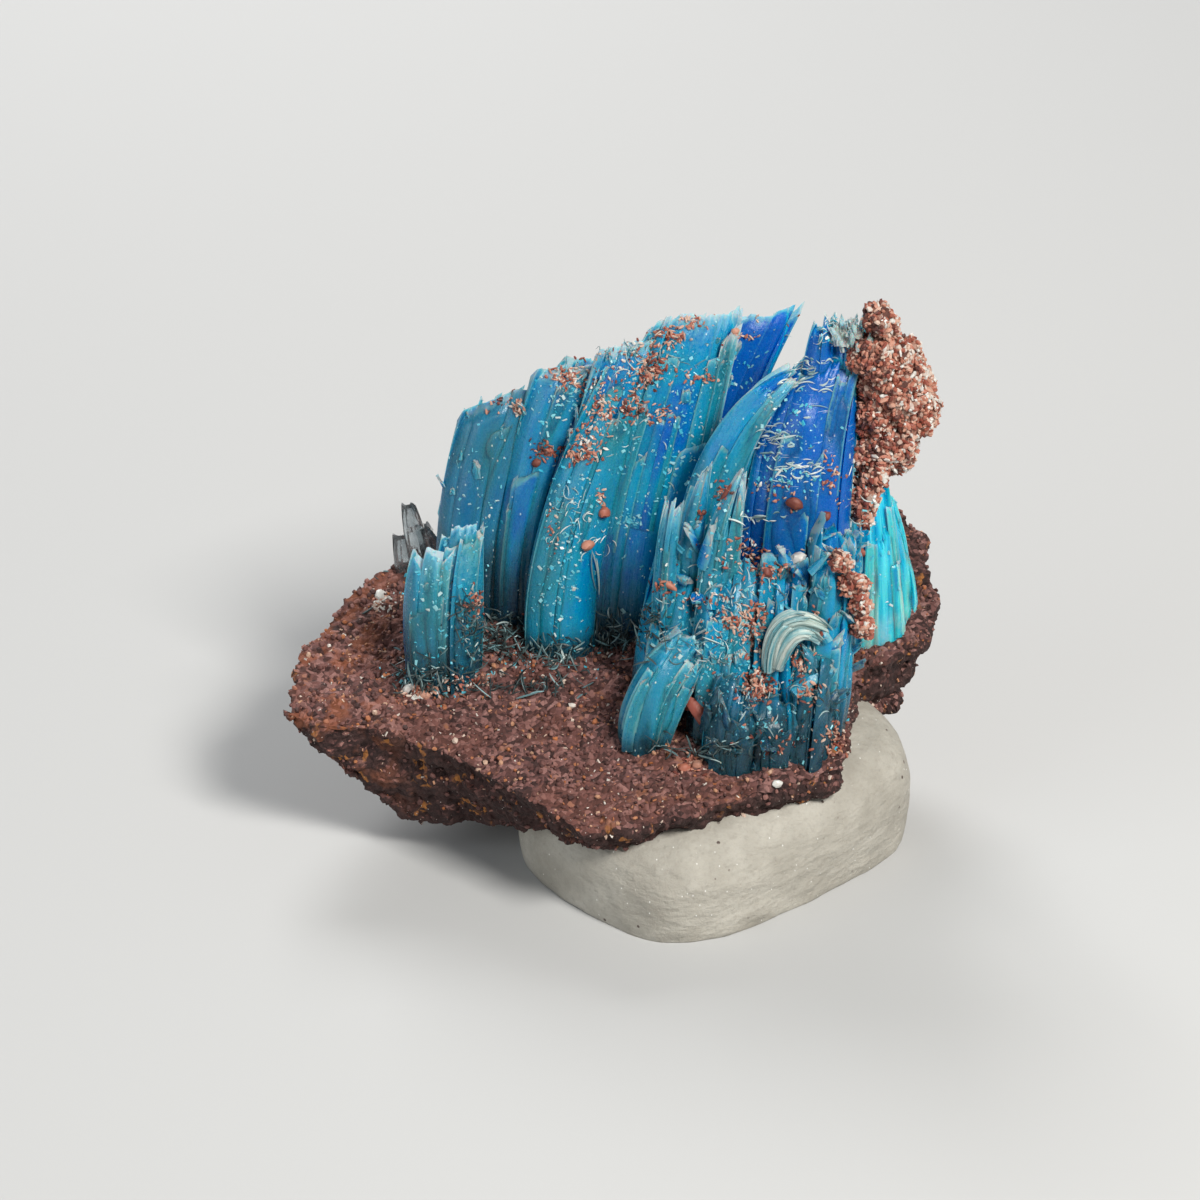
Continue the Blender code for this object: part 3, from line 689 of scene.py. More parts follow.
def blade(chance, leaves=5, **shape):
    """A blade and the thin leaves that lie on its two faces."""
    yield sheet(chance, **shape)
    for number in range(leaves):
        middle = chance.uniform(-0.8, 0.8)
        reach = chance.uniform(0.10, 0.34)
        left, right = max(-0.97, middle - reach), min(0.97, middle + reach)
        top = chance.uniform(0.45, 1.02)
        bottom = max(0.0, top - chance.uniform(0.3, 0.8))
        thin = chance.uniform(0.18, 0.40)
        share = max(0.3, 1 - 0.35 * middle**4 - shape.get("taper", 0.5) * top**4)
        on_front = number % 3 > 0
        off = (shape["thick"] * share / 2 - thin * 0.1) * (1 if on_front else -1)
        leaf = dict(shape, thick=thin, laths=int(chance.integers(1, 4)), rows=22, taper=0.2,
                    jag=shape.get("jag", 0.5) * 0.8, wave=0.04, relief=0.04, raised=off,
                    part=(left, right, bottom, top), blue=shape["blue"] + chance.normal(0, 0.12),
                    pale=shape["pale"] + chance.normal(0.08, 0.12))
        yield sheet(chance, **leaf)


def joined(name, shells, sharp=32):
    """One mesh of closed shells, each a set of points, faces and values."""
    points, faces, values, count = [], [], [], 0
    for more_points, more_faces, more_values in shells:
        points.append(more_points)
        faces.append(more_faces + count)
        values.append(more_values)
        count += len(more_points)
    values = {key: np.concatenate([value[key] for value in values]) for key in values[0]}
    return mesh_of(name, np.concatenate(points), np.concatenate(faces), sharp, **values)


def grown_together(name, blades, seed):
    """One mesh of blades that grew together."""
    chance = np.random.default_rng(seed)
    return joined(name, [shell for shape in blades for shell in blade(chance, **shape)])


def crystal_finish(name, depth=0.0, pale=0.0, scratches=0.0):
    """Chalcanthite: blue and glassy where fresh, pale green and chalky where it has dried.

    depth makes the blue deeper, pale makes the whole of it drier, scratches is how many it has.
    """
    material, w = new_material(name)
    point = w.place()
    fibre = w.stored("fibre", "Vector")
    stripes = w.noise(fibre.stretched((2.6, 0.16, 1.0)), 1.0, 5.0, 0.6)
    fine = w.noise(fibre.stretched((9.0, 0.7, 1.0)), 1.0, 3.0, 0.6)
    cloud = w.noise(point, 0.30, 3.0)
    grit = w.noise(point, 4.5, 4.0, 0.75)
    blue = w.stored("blue") + (cloud - 0.5) * 1.3 + (stripes - 0.5) * 0.55 + depth
    body = blue.ramp((0.05, TEAL), (0.42, AZURE), (0.85, DEEP))
    chalk = w.stored("chalk") + (stripes - 0.5) * 0.75 + (grit - 0.5) * 0.75
    chalk = chalk + (cloud - 0.5) * 0.5 + pale
    body = (chalk.between(0.15, 0.60) * 0.85).blend(body, ICE)
    body = (chalk.between(0.55, 1.0) * 0.9).blend(body, CHALK)
    # A dull grey-blue skin colour, partly painted shade: it darkens the left plates of the fan most.
    body = (w.stored("dull") * (1.3 - stripes)).blend(body, DULL_AND_SHADE)
    # Painted shade: the foot is darkened towards the rock, up to each blade's set height.
    painted_foot_shade = w.stored("rise") + (cloud - 0.5) * 0.8 + (stripes - 0.5) * 0.5
    body = (painted_foot_shade.between(1.0, 0.1) * 0.9).blend(body, SHADE)
    scratch = w.noise(w.place((0.5, 0.5, 7.0)), 1.5, 2.0, 0.8).between(0.66, 0.72) * scratches
    body = scratch.blend(body, (0.50, 0.58, 0.70))
    # Painted highlight: small pale specks painted into the colour as glints.
    painted_glint_flecks = w.cells(w.place((1.0, 1.0, 0.6)), 2.6).between(0.13, 0.08)
    painted_glint_flecks = painted_glint_flecks * w.noise(point, 0.8).between(0.46, 0.58)
    body = (painted_glint_flecks * 0.75).blend(body, (0.66, 0.78, 0.78))
    set_surface(w, {
        "Base Color": body,
        "Roughness": 0.27 + 0.35 * chalk.between(0.15, 0.9) + (grit - 0.5) * 0.4,
        "Normal": grit.bump(0.55, 0.05, (stripes + fine * 0.5).bump(0.6, 0.07)),
        "IOR": 1.53,
        "Specular IOR Level": 0.4,
        "Subsurface Weight": 0.55,
        "Subsurface Radius": (0.12 * MM, 0.6 * MM, 1.2 * MM),
        "Subsurface Scale": 1.0,
    })
    return material


sky_blue = crystal_finish("sky_blue_crystal")
left_sheaf = add_piece("left_sheaf_blades", grown_together("left_sheaf", [
    dict(spine=[(-15.1, 1.7, 7.6), (-15.2, 1.9, 13.2), (-14.7, 2.6, 17.2)], widths=(3.5, 4.0, 3.6),
         thick=1.3, slant=1.3, cup=0.3, jag=0.35, laths=5, leaves=6, blue=0.0, pale=0.6),
    dict(spine=[(-14.3, 2.8, 7.6), (-14.2, 3.0, 13.4), (-13.9, 3.4, 17.8)], widths=(2.6, 2.8, 2.2),
         thick=1.3, slant=0.5, jag=0.35, laths=3, leaves=3, blue=0.1, pale=0.3),
], seed=1), sky_blue, "sky_blue_crystal", "left_sheaf")

# The main fan: broad curved plates that grew side by side from the slab and lean to the right.
# Their middles are a deep clear blue, and their cut-off tops are pale, dry and crusted.
fan_blue = crystal_finish("fan_blue_crystal", depth=0.08, pale=-0.15)
main_fan = add_piece("main_fan_blades", grown_together("main_fan", [
    dict(spine=[(-4.9, 6.1, 7.8), (-4.1, 7.0, 17.0), (-1.0, 9.3, 27.9)], widths=(5.0, 6.8, 4.6),
         thick=1.7, slant=1.2, jag=0.4, laths=6, rows=60, leaves=9, dirt=5.0, blue=0.38, pale=0.45),
    dict(spine=[(-4.9, 6.1, 7.8), (-4.1, 7.0, 17.0), (-1.0, 9.3, 27.9)], widths=(5.0, 6.8, 4.6),
         thick=0.4, slant=1.2, jag=0.3, laths=3, rows=44, leaves=0, part=(0.66, 0.98, 0.2, 0.96),
         raised=0.55, dirt=5.0, blue=0.0, pale=0.75),
    dict(spine=[(-8.4, 4.9, 7.6), (-8.0, 5.6, 15.8), (-4.3, 8.3, 25.0)], widths=(3.9, 3.9, 3.4),
         thick=1.6, slant=0.8, cup=0.25, jag=0.3, taper=0.9, laths=4, rows=56, leaves=9,
         dirt=2.2, blue=0.16, pale=0.5),
    dict(spine=[(-7.2, 6.2, 7.8), (-6.6, 7.2, 17.2), (-3.6, 9.0, 26.7)], widths=(3.6, 4.2, 4.8),
         thick=1.9, slant=2.2, jag=0.3, laths=4, rows=56, leaves=6, blue=0.38, pale=0.55),
    # These three plates get the dull grey-blue skin, partly painted shade on the left plates.
    dict(spine=[(-10.4, 7.2, 8.0), (-10.0, 8.1, 16.4), (-6.9, 9.8, 24.8)], widths=(3.6, 4.0, 5.2),
         thick=1.7, slant=2.0, jag=0.25, laths=4, rows=50, leaves=6, dull=0.35, blue=0.35, pale=0.45),
    dict(spine=[(-13.2, 8.2, 8.2), (-12.9, 8.9, 15.8), (-11.0, 10.2, 22.9)], widths=(4.2, 5.0, 5.0),
         thick=1.9, slant=2.4, jag=0.2, laths=5, rows=46, leaves=5, dull=0.8, blue=0.15, pale=0.35),
    dict(spine=[(-8.6, 8.9, 8.2), (-8.4, 9.8, 16.6), (-4.7, 11.2, 24.3)], widths=(7.0, 8.0, 6.6),
         thick=2.2, slant=-2.2, jag=0.35, laths=9, rows=46, leaves=9, facing=(0, 1, 0),
         dull=0.3, blue=0.3, pale=0.35),
], seed=2), fan_blue, "sky_blue_crystal", "main_fan")

# Its crest is ragged: small dry splinters still stand on the broken tops of the plates.
FAN_ROOT = np.array([-11.0, 3.0, -12.0])
CREST_HEIGHT = 20.5
CREST_SPLINTERS = 120


def splinter(chance, place, normal, size, root, stray=0.33, **values):
    """A short crystal sheet, half sunk where it stands, that points up and away from the root.

    stray is how far it may point another way.
    """
    heading = 0.7 * unit(place - root) + (0.15, 0.1, 0.45) + chance.normal(0, stray, 3)
    length = size * chance.uniform(0.8, 2.6)
    heading = unit(heading) * length
    foot = place - heading * 0.45
    width = size * chance.uniform(0.45, 1.1)
    bow = chance.normal(0, 0.02 * length, 3)
    tip_width = width * chance.uniform(0.2, 0.8)
    thick = width * chance.uniform(0.35, 0.8)
    facing = unit(normal + chance.normal(0, 0.35, 3))
    slant = chance.normal(0, 0.3) * width
    return sheet(chance, spine=[foot, foot + heading / 2 + bow, foot + heading],
                 widths=(width, width, tip_width), thick=thick, facing=facing, slant=slant,
                 laths=2, rows=9, jag=0.35 * width, relief=0.04, wave=0.04, **values)


chance = np.random.default_rng(7)
places, normals = scattered(main_fan.data, CREST_SPLINTERS, chance, lambda p, n: (
    (p[:, 2] > CREST_HEIGHT + 0.45 * (p[:, 0] + 7)) + 0.02 * (p[:, 2] > CREST_HEIGHT - 4)))
crest = add_piece("main_fan_crest", joined("main_fan_crest", [
    splinter(chance, place / MM, normal, chance.choice([0.35, 0.6]), FAN_ROOT,
             blue=chance.uniform(0.0, 0.4), pale=chance.uniform(0.6, 1.3), dull=0.2)
    for place, normal in zip(places, normals)]), sky_blue, "sky_blue_crystal")

# The back blade: one deep blue, glassy blade behind the fan, whose tip leans out to the right.
deep_blue = crystal_finish("deep_blue_crystal", depth=0.45, pale=-0.22)
back_blade = add_piece("back_blade_sheet", grown_together("back_blade", [
    dict(spine=[(-2.6, 9.9, 9.0), (-1.1, 10.6, 18.4), (2.4, 12.1, 26.8)], widths=(3.6, 4.6, 4.0),
         thick=1.4, slant=1.5, jag=0.25, laths=4, rows=56, leaves=4, relief=0.05, blue=0.5, pale=0.3),
], seed=3), deep_blue, "deep_blue_crystal", "back_blade")

# The right cluster: a tall deep blue block with a curved side blade and free spears, above a
# rough mass of short broken blades. It all grew from one spot and is one crystal mass.
# The block has a hump on its left shoulder, and a dry pale blade at its top, where the tuft stands.
block_blue = crystal_finish("block_blue_crystal", depth=0.36, pale=-0.05, scratches=0.8)
right_block = add_piece("right_cluster_block", grown_together("right_cluster_block", [
    dict(spine=[(4.4, 2.6, 7.8), (4.5, 4.2, 19.4), (6.3, 7.0, 27.0)], widths=(6.2, 5.8, 4.0),
         thick=3.0, slant=2.6, jag=0.4, laths=6, rows=60, leaves=7, relief=0.08, wave=0.2,
         blue=0.65, pale=0.1),
    dict(spine=[(5.3, 5.4, 20.0), (5.5, 6.2, 25.4), (5.8, 6.7, 28.9)], widths=(2.2, 2.0, 1.1),
         thick=1.6, jag=0.35, laths=3, rows=30, leaves=2, relief=0.05, wave=0.05, blue=0.6, pale=0.4),
    dict(spine=[(6.8, 5.8, 22.0), (7.0, 6.5, 26.0), (7.2, 6.8, 28.5)], widths=(2.4, 2.2, 1.8),
         thick=1.4, jag=0.5, laths=4, rows=30, leaves=2, relief=0.1, wave=0.1, blue=0.0, pale=1.5),
], seed=4), block_blue, "deep_blue_crystal", "right_cluster")
# First the rough mass, from left to right, then the side blade, the spears and the low front blades.
right_blades = add_piece("right_cluster_blades", grown_together("right_cluster_blades", [
    dict(spine=[(-2.6, 0.8, 7.4), (-2.3, 1.6, 12.8), (-1.5, 2.4, 17.6)], widths=(4.4, 3.8, 3.0),
         thick=3.0, jag=0.6, laths=4, rows=28, relief=0.2, wave=0.25, dirt=3.0, blue=0.2, pale=0.3),
    dict(spine=[(0.9, -1.9, 7.0), (1.1, -0.6, 12.6), (1.6, 1.0, 17.4)], widths=(5.2, 5.0, 4.6),
         thick=3.6, jag=0.7, laths=4, rows=28, relief=0.25, wave=0.4, dirt=4.0, blue=0.25, pale=0.25),
    dict(spine=[(4.1, -2.9, 6.8), (4.4, -1.2, 12.6), (4.7, 0.6, 17.2)], widths=(4.8, 4.8, 4.4),
         thick=3.8, jag=0.7, laths=4, rows=28, relief=0.25, wave=0.4, dirt=4.0, blue=0.3, pale=0.2),
    dict(spine=[(5.4, -1.4, 6.8), (6.0, 0.2, 13.4), (6.6, 2.2, 18.6)], widths=(2.6, 3.0, 2.4),
         thick=3.8, jag=0.6, laths=3, relief=0.2, wave=0.3, facing=(0.3, -1, 0), dirt=4.0,
         blue=0.4, pale=0.1),
    dict(spine=[(5.0, -3.0, 6.8), (5.9, -2.0, 13.0), (6.3, -0.9, 18.9)], widths=(2.8, 2.8, 2.0),
         thick=1.8, jag=0.5, laths=4, leaves=4, relief=0.15, wave=0.2, facing=(0.3, -1, 0), dirt=4.0,
         blue=0.35, pale=0.3),
    dict(spine=[(-0.6, 3.0, 8.6), (0.0, 4.6, 19.6), (4.2, 5.6, 26.2)], widths=(3.0, 3.2, 1.2),
         thick=1.2, slant=-0.3, jag=0.25, laths=4, rows=56, leaves=6, dirt=13.0, blue=0.4, pale=0.4),
    dict(spine=[(-0.1, 0.4, 13.6), (0.2, 0.4, 18.2), (1.2, 0.6, 22.6)], widths=(1.8, 2.1, 0.5),
         thick=1.0, jag=0.3, laths=3, leaves=3, relief=0.06, wave=0.05, blue=-0.05, pale=1.0),
    dict(spine=[(-1.6, 1.4, 14.4), (-1.3, 1.4, 19.0), (-0.6, 1.6, 22.6)], widths=(1.2, 1.2, 0.4),
         thick=0.9, jag=0.25, laths=2, leaves=2, relief=0.05, wave=0.05, blue=0.0, pale=0.9),
    dict(spine=[(-2.9, 0.7, 13.6), (-2.8, 0.7, 17.6), (-2.4, 0.9, 20.7)], widths=(1.4, 1.2, 1.0),
         thick=0.9, jag=0.4, laths=4, leaves=3, relief=0.06, wave=0.05, blue=0.0, pale=0.8),
    dict(spine=[(-4.1, -2.6, 6.4), (-3.4, -2.3, 10.4), (-1.2, -1.5, 13.8)], widths=(2.2, 3.2, 2.2),
         thick=2.4, slant=0.2, jag=0.5, laths=3, leaves=9, wave=0.3, dirt=2.0, blue=0.05, pale=0.45),
    dict(spine=[(1.5, -4.4, 6.2), (1.6, -4.1, 9.2), (2.0, -3.3, 11.8)], widths=(4.6, 4.8, 4.2),
         thick=1.6, jag=0.5, laths=8, leaves=7, relief=0.12, wave=0.2, dirt=10.0, dull=0.4,
         blue=0.2, pale=0.1),
    dict(spine=[(4.7, -3.8, 6.4), (5.0, -3.4, 10.0), (5.4, -2.4, 13.4)], widths=(2.6, 2.8, 2.4),
         thick=1.8, jag=0.5, laths=5, leaves=4, relief=0.12, wave=0.2, dirt=8.0, dull=0.3,
         blue=0.2, pale=0.15),
], seed=5), sky_blue, "sky_blue_crystal")

# Below its middle the cluster is broken into splinters, which still point up and outwards.
SPLINTERS = 310
SPLINTER_SIZES, SPLINTER_SHARES = (0.45, 0.7, 1.2), (0.5, 0.35, 0.15)
SPLINTER_ROOT = np.array([1.2, 4.0, 3.0])
LOWEST_SPLINTER, HIGHEST_SPLINTER = 7.6, 19.5
# Near the rock the splinters get painted shade to a greater height, as the skirt of the cluster does.
DARK_BELOW = 11.5

chance = np.random.default_rng(6)
places, normals = scattered(right_blades.data, SPLINTERS, chance, lambda p, n: (
    (p[:, 2] > LOWEST_SPLINTER) * (p[:, 2] < HIGHEST_SPLINTER) * (0.25 + (n[:, 1] < 0.1))
    * (0.12 + (p[:, 0] > -0.6 - 0.16 * (p[:, 2] - 8.0)))))
splinters = add_piece("right_cluster_splinters", joined("right_cluster_splinters", [
    splinter(chance, place / MM, normal, chance.choice(SPLINTER_SIZES, p=SPLINTER_SHARES),
             SPLINTER_ROOT, stray=0.62, dirt=14.0 if place[2] < DARK_BELOW * MM else 4.0,
             dull=chance.choice([0.0, 0.5], p=[0.7, 0.3]), blue=chance.uniform(-0.1, 0.7),
             pale=1.7 * chance.random() ** 1.5)
    for place, normal in zip(places, normals)]), sky_blue, "sky_blue_crystal")

# A tuft of white, dried-out splinters stands on top of the block beside the crust.
TUFT_CENTRE, TUFT_ROOT = np.array([7.0, 6.5, 28.35]), np.array([7.0, 6.0, 25.0])
TUFT_SPREAD = (0.5, 0.4, 0.35)
TUFT_SPLINTERS = 60
TUFT_FACING = np.array([0.0, -1.0, 0.3])
dry_white = crystal_finish("dry_white_crystal", depth=-0.3, pale=1.5)
tuft_places = TUFT_CENTRE + chance.normal(0, TUFT_SPREAD, (TUFT_SPLINTERS, 3))
add_piece("right_cluster_tuft", joined("right_cluster_tuft", [
    splinter(chance, place, TUFT_FACING, chance.choice([0.3, 0.5]), TUFT_ROOT, blue=0.0, pale=0.5)
    for place in tuft_places]), dry_white, "pale_green_crystal")

# The pale curl: a whitish green fibre bundle that bends over like a claw on the right cluster.
# Fibres of copper sulphate curl this way when they are pushed out of the rock as they grow.
pale_green, w = new_material("pale_green_crystal")
point = w.place()
fibre = w.stored("fibre", "Vector")
lines = w.noise(fibre.stretched((7.0, 0.35, 1.0)), 1.0, 4.0, 0.6)
grit = w.noise(point, 5.0, 4.0, 0.75)
curl_colour = (lines + w.stored("blue") * 0.5).ramp(
    (0.30, (0.62, 0.68, 0.60)), (0.50, (0.40, 0.52, 0.48)),
    (0.68, (0.13, 0.33, 0.37)), (0.85, (0.03, 0.17, 0.22)))
curl_colour = grit.between(0.60, 0.75).blend(curl_colour, (0.78, 0.80, 0.74))
set_surface(w, {
    "Base Color": curl_colour,
    "Roughness": 0.42 + (grit - 0.5) * 0.4,
    "Normal": grit.bump(0.5, 0.05, lines.bump(0.8, 0.10)),
    "IOR": 1.53,
    "Subsurface Weight": 0.4,
    "Subsurface Radius": (0.5 * MM, 0.7 * MM, 0.7 * MM),
    "Subsurface Scale": 1.0,
})
add_piece("pale_curl_fibres", grown_together("pale_curl", [
    dict(spine=[(3.0, -2.6, 12.6), (3.8, -2.9, 15.4), (6.0, -2.6, 14.8)], widths=(1.3, 1.5, 0.7),
         thick=0.9, jag=0.25, laths=4, rows=40, leaves=6, relief=0.08, wave=0.04, blue=0.1, pale=0.2),
    dict(spine=[(3.2, -3.1, 12.9), (4.2, -3.3, 14.9), (5.6, -2.9, 14.3)], widths=(0.7, 0.8, 0.4),
         thick=0.5, jag=0.2, laths=3, rows=30, leaves=2, relief=0.05, wave=0.03, blue=0.3, pale=0.2),
], seed=8), pale_green, "pale_green_crystal", "pale_curl")

# The far slab: a bright cyan crystal behind the right cluster, which light shines through. It
# widens to a rounded foot, has pale upright streaks, and stands against the rock behind it.
bright_cyan, w = new_material("bright_cyan_crystal")
point = w.place()
fibre = w.stored("fibre", "Vector")
lines = w.noise(fibre.stretched((2.2, 0.13, 1.0)), 1.0, 4.0, 0.6)
grit = w.noise(point, 4.0, 4.0, 0.7)
cyan = (lines + w.stored("chalk") * 0.25).ramp(
    (0.34, (0.0, 0.24, 0.48)), (0.46, (0.01, 0.46, 0.70)),
    (0.58, (0.08, 0.62, 0.78)), (0.74, (0.34, 0.76, 0.84)))
foot_white = w.stored("rise").between(0.40, 0.12) * w.noise(point, 0.9, 3.0).between(0.42, 0.6)
cyan = (foot_white * 0.6).blend(cyan, (0.30, 0.56, 0.62))
set_surface(w, {
    "Base Color": cyan,
    "Roughness": 0.25 + (grit - 0.5) * 0.3,
    "Normal": grit.bump(0.3, 0.05, lines.bump(0.5, 0.08)),
    "IOR": 1.53,
    "Specular IOR Level": 0.4,
    "Subsurface Weight": 0.7,
    "Subsurface Radius": (0.1 * MM, 0.8 * MM, 1.4 * MM),
    "Subsurface Scale": 1.0,
})
far_slab = add_piece("far_slab_sheets", grown_together("far_slab", [
    dict(spine=[(9.1, 5.9, 8.0), (8.9, 6.3, 14.0), (8.6, 7.2, 19.6)], widths=(4.0, 2.9, 1.5),
         thick=2.0, jag=0.2, laths=5, rows=50, leaves=5, facing=(0.35, -1, 0), blue=0.3, pale=0.2),
    dict(spine=[(9.3, 6.6, 9.6), (9.7, 6.7, 12.8), (9.2, 7.3, 17.6)], widths=(3.6, 3.2, 1.6),
         thick=1.9, jag=0.2, laths=4, rows=44, leaves=4, facing=(0.45, -1, 0), blue=0.3, pale=0.3),
    dict(spine=[(10.0, 7.1, 9.8), (10.3, 7.0, 12.4), (9.7, 7.4, 15.6)], widths=(2.6, 2.2, 1.2),
         thick=1.7, jag=0.2, laths=4, rows=36, leaves=3, facing=(0.5, -1, 0), blue=0.2, pale=0.3),
], seed=9), bright_cyan, "bright_cyan_crystal", "far_slab")

# The clear crystals: three small smoky, see-through prisms at the far left of the slab. They
# grew on the rock apart from the blue ones, and let light through but darken it.
smoky_clear, w = new_material("smoky_clear_crystal")
point = w.place()
mist = w.noise(point, 1.4, 4.0, 0.7)
clear_colour = mist.ramp((0.35, (0.50, 0.56, 0.58)), (0.60, (0.74, 0.79, 0.80)), (0.75, (0.88, 0.90, 0.90)))
glass = w.node("ShaderNodeBsdfPrincipled", {}, {
    "Base Color": clear_colour,
    "Roughness": 0.05 + 0.35 * mist.between(0.5, 0.72),
    "Normal": w.noise(point, 3.0, 3.0).bump(0.35, 0.06),
    "IOR": 1.53,
    "Transmission Weight": 0.9,
})
smoke = w.node("ShaderNodeVolumeAbsorption", {}, {"Color": (0.30, 0.42, 0.50), "Density": 220.0})
w.node("ShaderNodeOutputMaterial", {}, {"Surface": glass, "Volume": smoke})
add_piece("clear_crystals_prisms", grown_together("clear_crystals", [
    dict(spine=[(-16.2, 11.4, 9.4), (-16.8, 11.4, 13.0), (-17.2, 11.5, 15.4)], widths=(1.5, 1.3, 0.8),
         thick=1.0, jag=0.2, laths=3, rows=20, leaves=1, relief=0.05, wave=0.03, cup=0.4, blue=0.0, pale=0.0),
    dict(spine=[(-17.4, 11.7, 9.4), (-17.6, 11.7, 11.6), (-17.7, 11.8, 13.2)], widths=(1.0, 1.0, 0.9),
         thick=1.0, jag=0.2, laths=2, rows=16, leaves=0, relief=0.04, wave=0.03, cup=0.3, blue=0.0, pale=0.0),
    dict(spine=[(-15.4, 11.2, 9.6), (-15.7, 11.2, 12.0), (-16.3, 11.3, 14.0)], widths=(1.6, 1.3, 0.5),
         thick=0.9, jag=0.2, laths=2, rows=16, leaves=0, relief=0.05, wave=0.03, cup=0.3, blue=0.0, pale=0.0),
], seed=10), smoky_clear, "smoky_clear_crystal", "clear_crystals")

# The crust: lumps of sand and crystal splinters cemented together. The right cluster carried a
# large lump of it up as it grew, and a narrow strip of it hangs on the cluster's right edge.
CRUST_CAP = [
    ((8.8, 6.2, 29.2), 1.1), ((8.9, 6.2, 27.0), 1.8), ((9.6, 6.7, 25.2), 2.3),
    ((10.4, 6.7, 27.2), 0.8), ((10.4, 6.9, 23.6), 1.9), ((9.5, 6.2, 21.7), 1.7), ((8.6, 5.3, 20.2), 1.2),
    ((8.0, 4.5, 18.6), 0.9), ((10.5, 7.2, 24.8), 1.5), ((8.6, 6.0, 23.6), 1.5),
    ((8.4, 5.6, 21.6), 1.2), ((8.2, 4.9, 19.4), 1.0),
]
CRUST_STRIP = [
    ((6.6, -1.6, 18.6), 0.8), ((7.2, -1.6, 17.2), 0.9), ((7.6, -1.5, 15.8), 0.8),
    ((7.9, -1.3, 14.4), 0.7),
]
CRUST_BED = 0.25
CRUST_STEP = 0.16 * MM
CAP_GRAINS, STRIP_GRAINS = 3300, 700

crust_paint, w = new_material("crust")
point = w.place()
crust_colour = w.cell_tone(point, 3.6).ramp(
    (0.12, (0.10, 0.04, 0.03)), (0.40, (0.24, 0.095, 0.065)),
    (0.62, (0.36, 0.17, 0.12)), (0.90, (0.46, 0.33, 0.27)))
set_surface(w, {
    "Base Color": crust_colour,
    "Roughness": 0.85,
    "Normal": w.noise(point, 6.0, 4.0, 0.7).bump(0.8, 0.12),
})
crust_grain, w = new_material("crust_grains")
tone = w.stored("tone")
stain = w.noise(w.place(), 2.2, 3.0)
grain_colour = tone.ramp(
    (0.00, (0.07, 0.020, 0.015)), (0.22, (0.24, 0.050, 0.030)), (0.42, (0.40, 0.135, 0.085)),
    (0.60, (0.52, 0.27, 0.19)), (0.78, (0.60, 0.45, 0.36)), (0.92, (0.62, 0.61, 0.57)))
grain_colour = (stain.between(0.5, 0.7) * 0.35).blend(grain_colour, (0.30, 0.10, 0.06))
set_surface(w, {
    "Base Color": grain_colour,
    "Roughness": 0.55 - 0.2 * tone.between(0.6, 0.9),
    "Normal": w.noise(w.place(), 8.0, 2.0).bump(0.5, 0.05),
})


def lying(normals, chance, tilt=0.35, along=None):
    """Rotations that lay a shape's z axis on the normals. Its x axis is random or along a line."""
    up = unit(normals + tilt * chance.normal(size=normals.shape))
    line = chance.normal(size=normals.shape) if along is None else along
    side = unit(np.cross(up, line))
    return np.stack([np.cross(side, up), side, up], axis=2)


def crusty_lump(name, balls, node, count, seed):
    """A lump of overlapping balls, roughened, with grains cemented all over it."""
    chance = np.random.default_rng(seed)
    balls_mesh = bmesh.new()
    for centre, radius in balls:
        seat = Matrix.Translation(Vector(centre) * MM)
        radius = (radius - CRUST_BED) * MM
        bmesh.ops.create_icosphere(balls_mesh, subdivisions=3, radius=radius, matrix=seat)
    mesh = bpy.data.meshes.new(name)
    balls_mesh.to_mesh(mesh)
    balls_mesh.free()
    lump = add_piece(name, mesh, crust_paint, "crust", node)
    even = lump.modifiers.new("even", "REMESH")
    even.mode = "VOXEL"
    even.voxel_size = CRUST_STEP
    push(lump, "lumps", "CLOUDS", 1.1, 1.1)
    push(lump, "grit", "VORONOI", 0.5, -0.5)
    mesh = finished_mesh(lump)
    places, normals = scattered(mesh, count, chance)
    # Grains that face right, towards the key light, get lighter tones: painted light.
    tones = np.clip(chance.beta(1.2, 1.3, count) + 0.32 * normals[:, 0] - 0.04, 0, 1)
    length = chance.uniform(0.22, 0.60, count)
    thin = chance.uniform(0.14, 0.28, (2, count))
    sizes = np.stack([length, thin[0] + 0.12 * length, thin[1]], 1)
    places = places + normals * sizes[:, 2:] * 0.25 * MM
    bits = loose_bits(name + "_grains", places, lying(normals, chance, 0.8), sizes, tones, chance)
    add_piece(name + "_grains", bits, crust_grain, "crust")
    return lump


crust_cap = crusty_lump("crust_cap_lump", CRUST_CAP, "crust_cap", CAP_GRAINS, 21)
crust_strip = crusty_lump("crust_strip_lump", CRUST_STRIP, "crust_strip", STRIP_GRAINS, 22)

# The loose bits: rust-red and peach grains in clusters, white chips and fibres on the crystals,
# and a tangle of dark dry fibres at their feet. They lie where the photograph shows them, and
# are strewn more evenly over the back.


def search_tree(*pieces):
    """The faces of some pieces, to be met by rays."""
    points, faces = [], []
    for piece in pieces:
        count = len(points)
        points += [tuple(vert.co) for vert in piece.data.vertices]
        faces += [[count + number for number in face.vertices] for face in piece.data.polygons]
    return BVHTree.FromPolygons(points, faces)


def seen_at(tree, across, down):
    """Where the camera's ray through a point of the picture, in pixels, meets the specimen."""
    share_right = (across - IMAGE_SIDE / 2) / IMAGE_SIDE
    share_up = (IMAGE_SIDE / 2 - down) / IMAGE_SIDE
    upward = Vector((0.0, math.sin(VIEW_TILT), math.cos(VIEW_TILT)))
    aim = VIEW_TARGET + (Vector((share_right, 0, 0)) + upward * share_up) * VIEW_HEIGHT
    place, normal, _, _ = tree.ray_cast(camera.location, (aim - camera.location).normalized())
    return place, normal


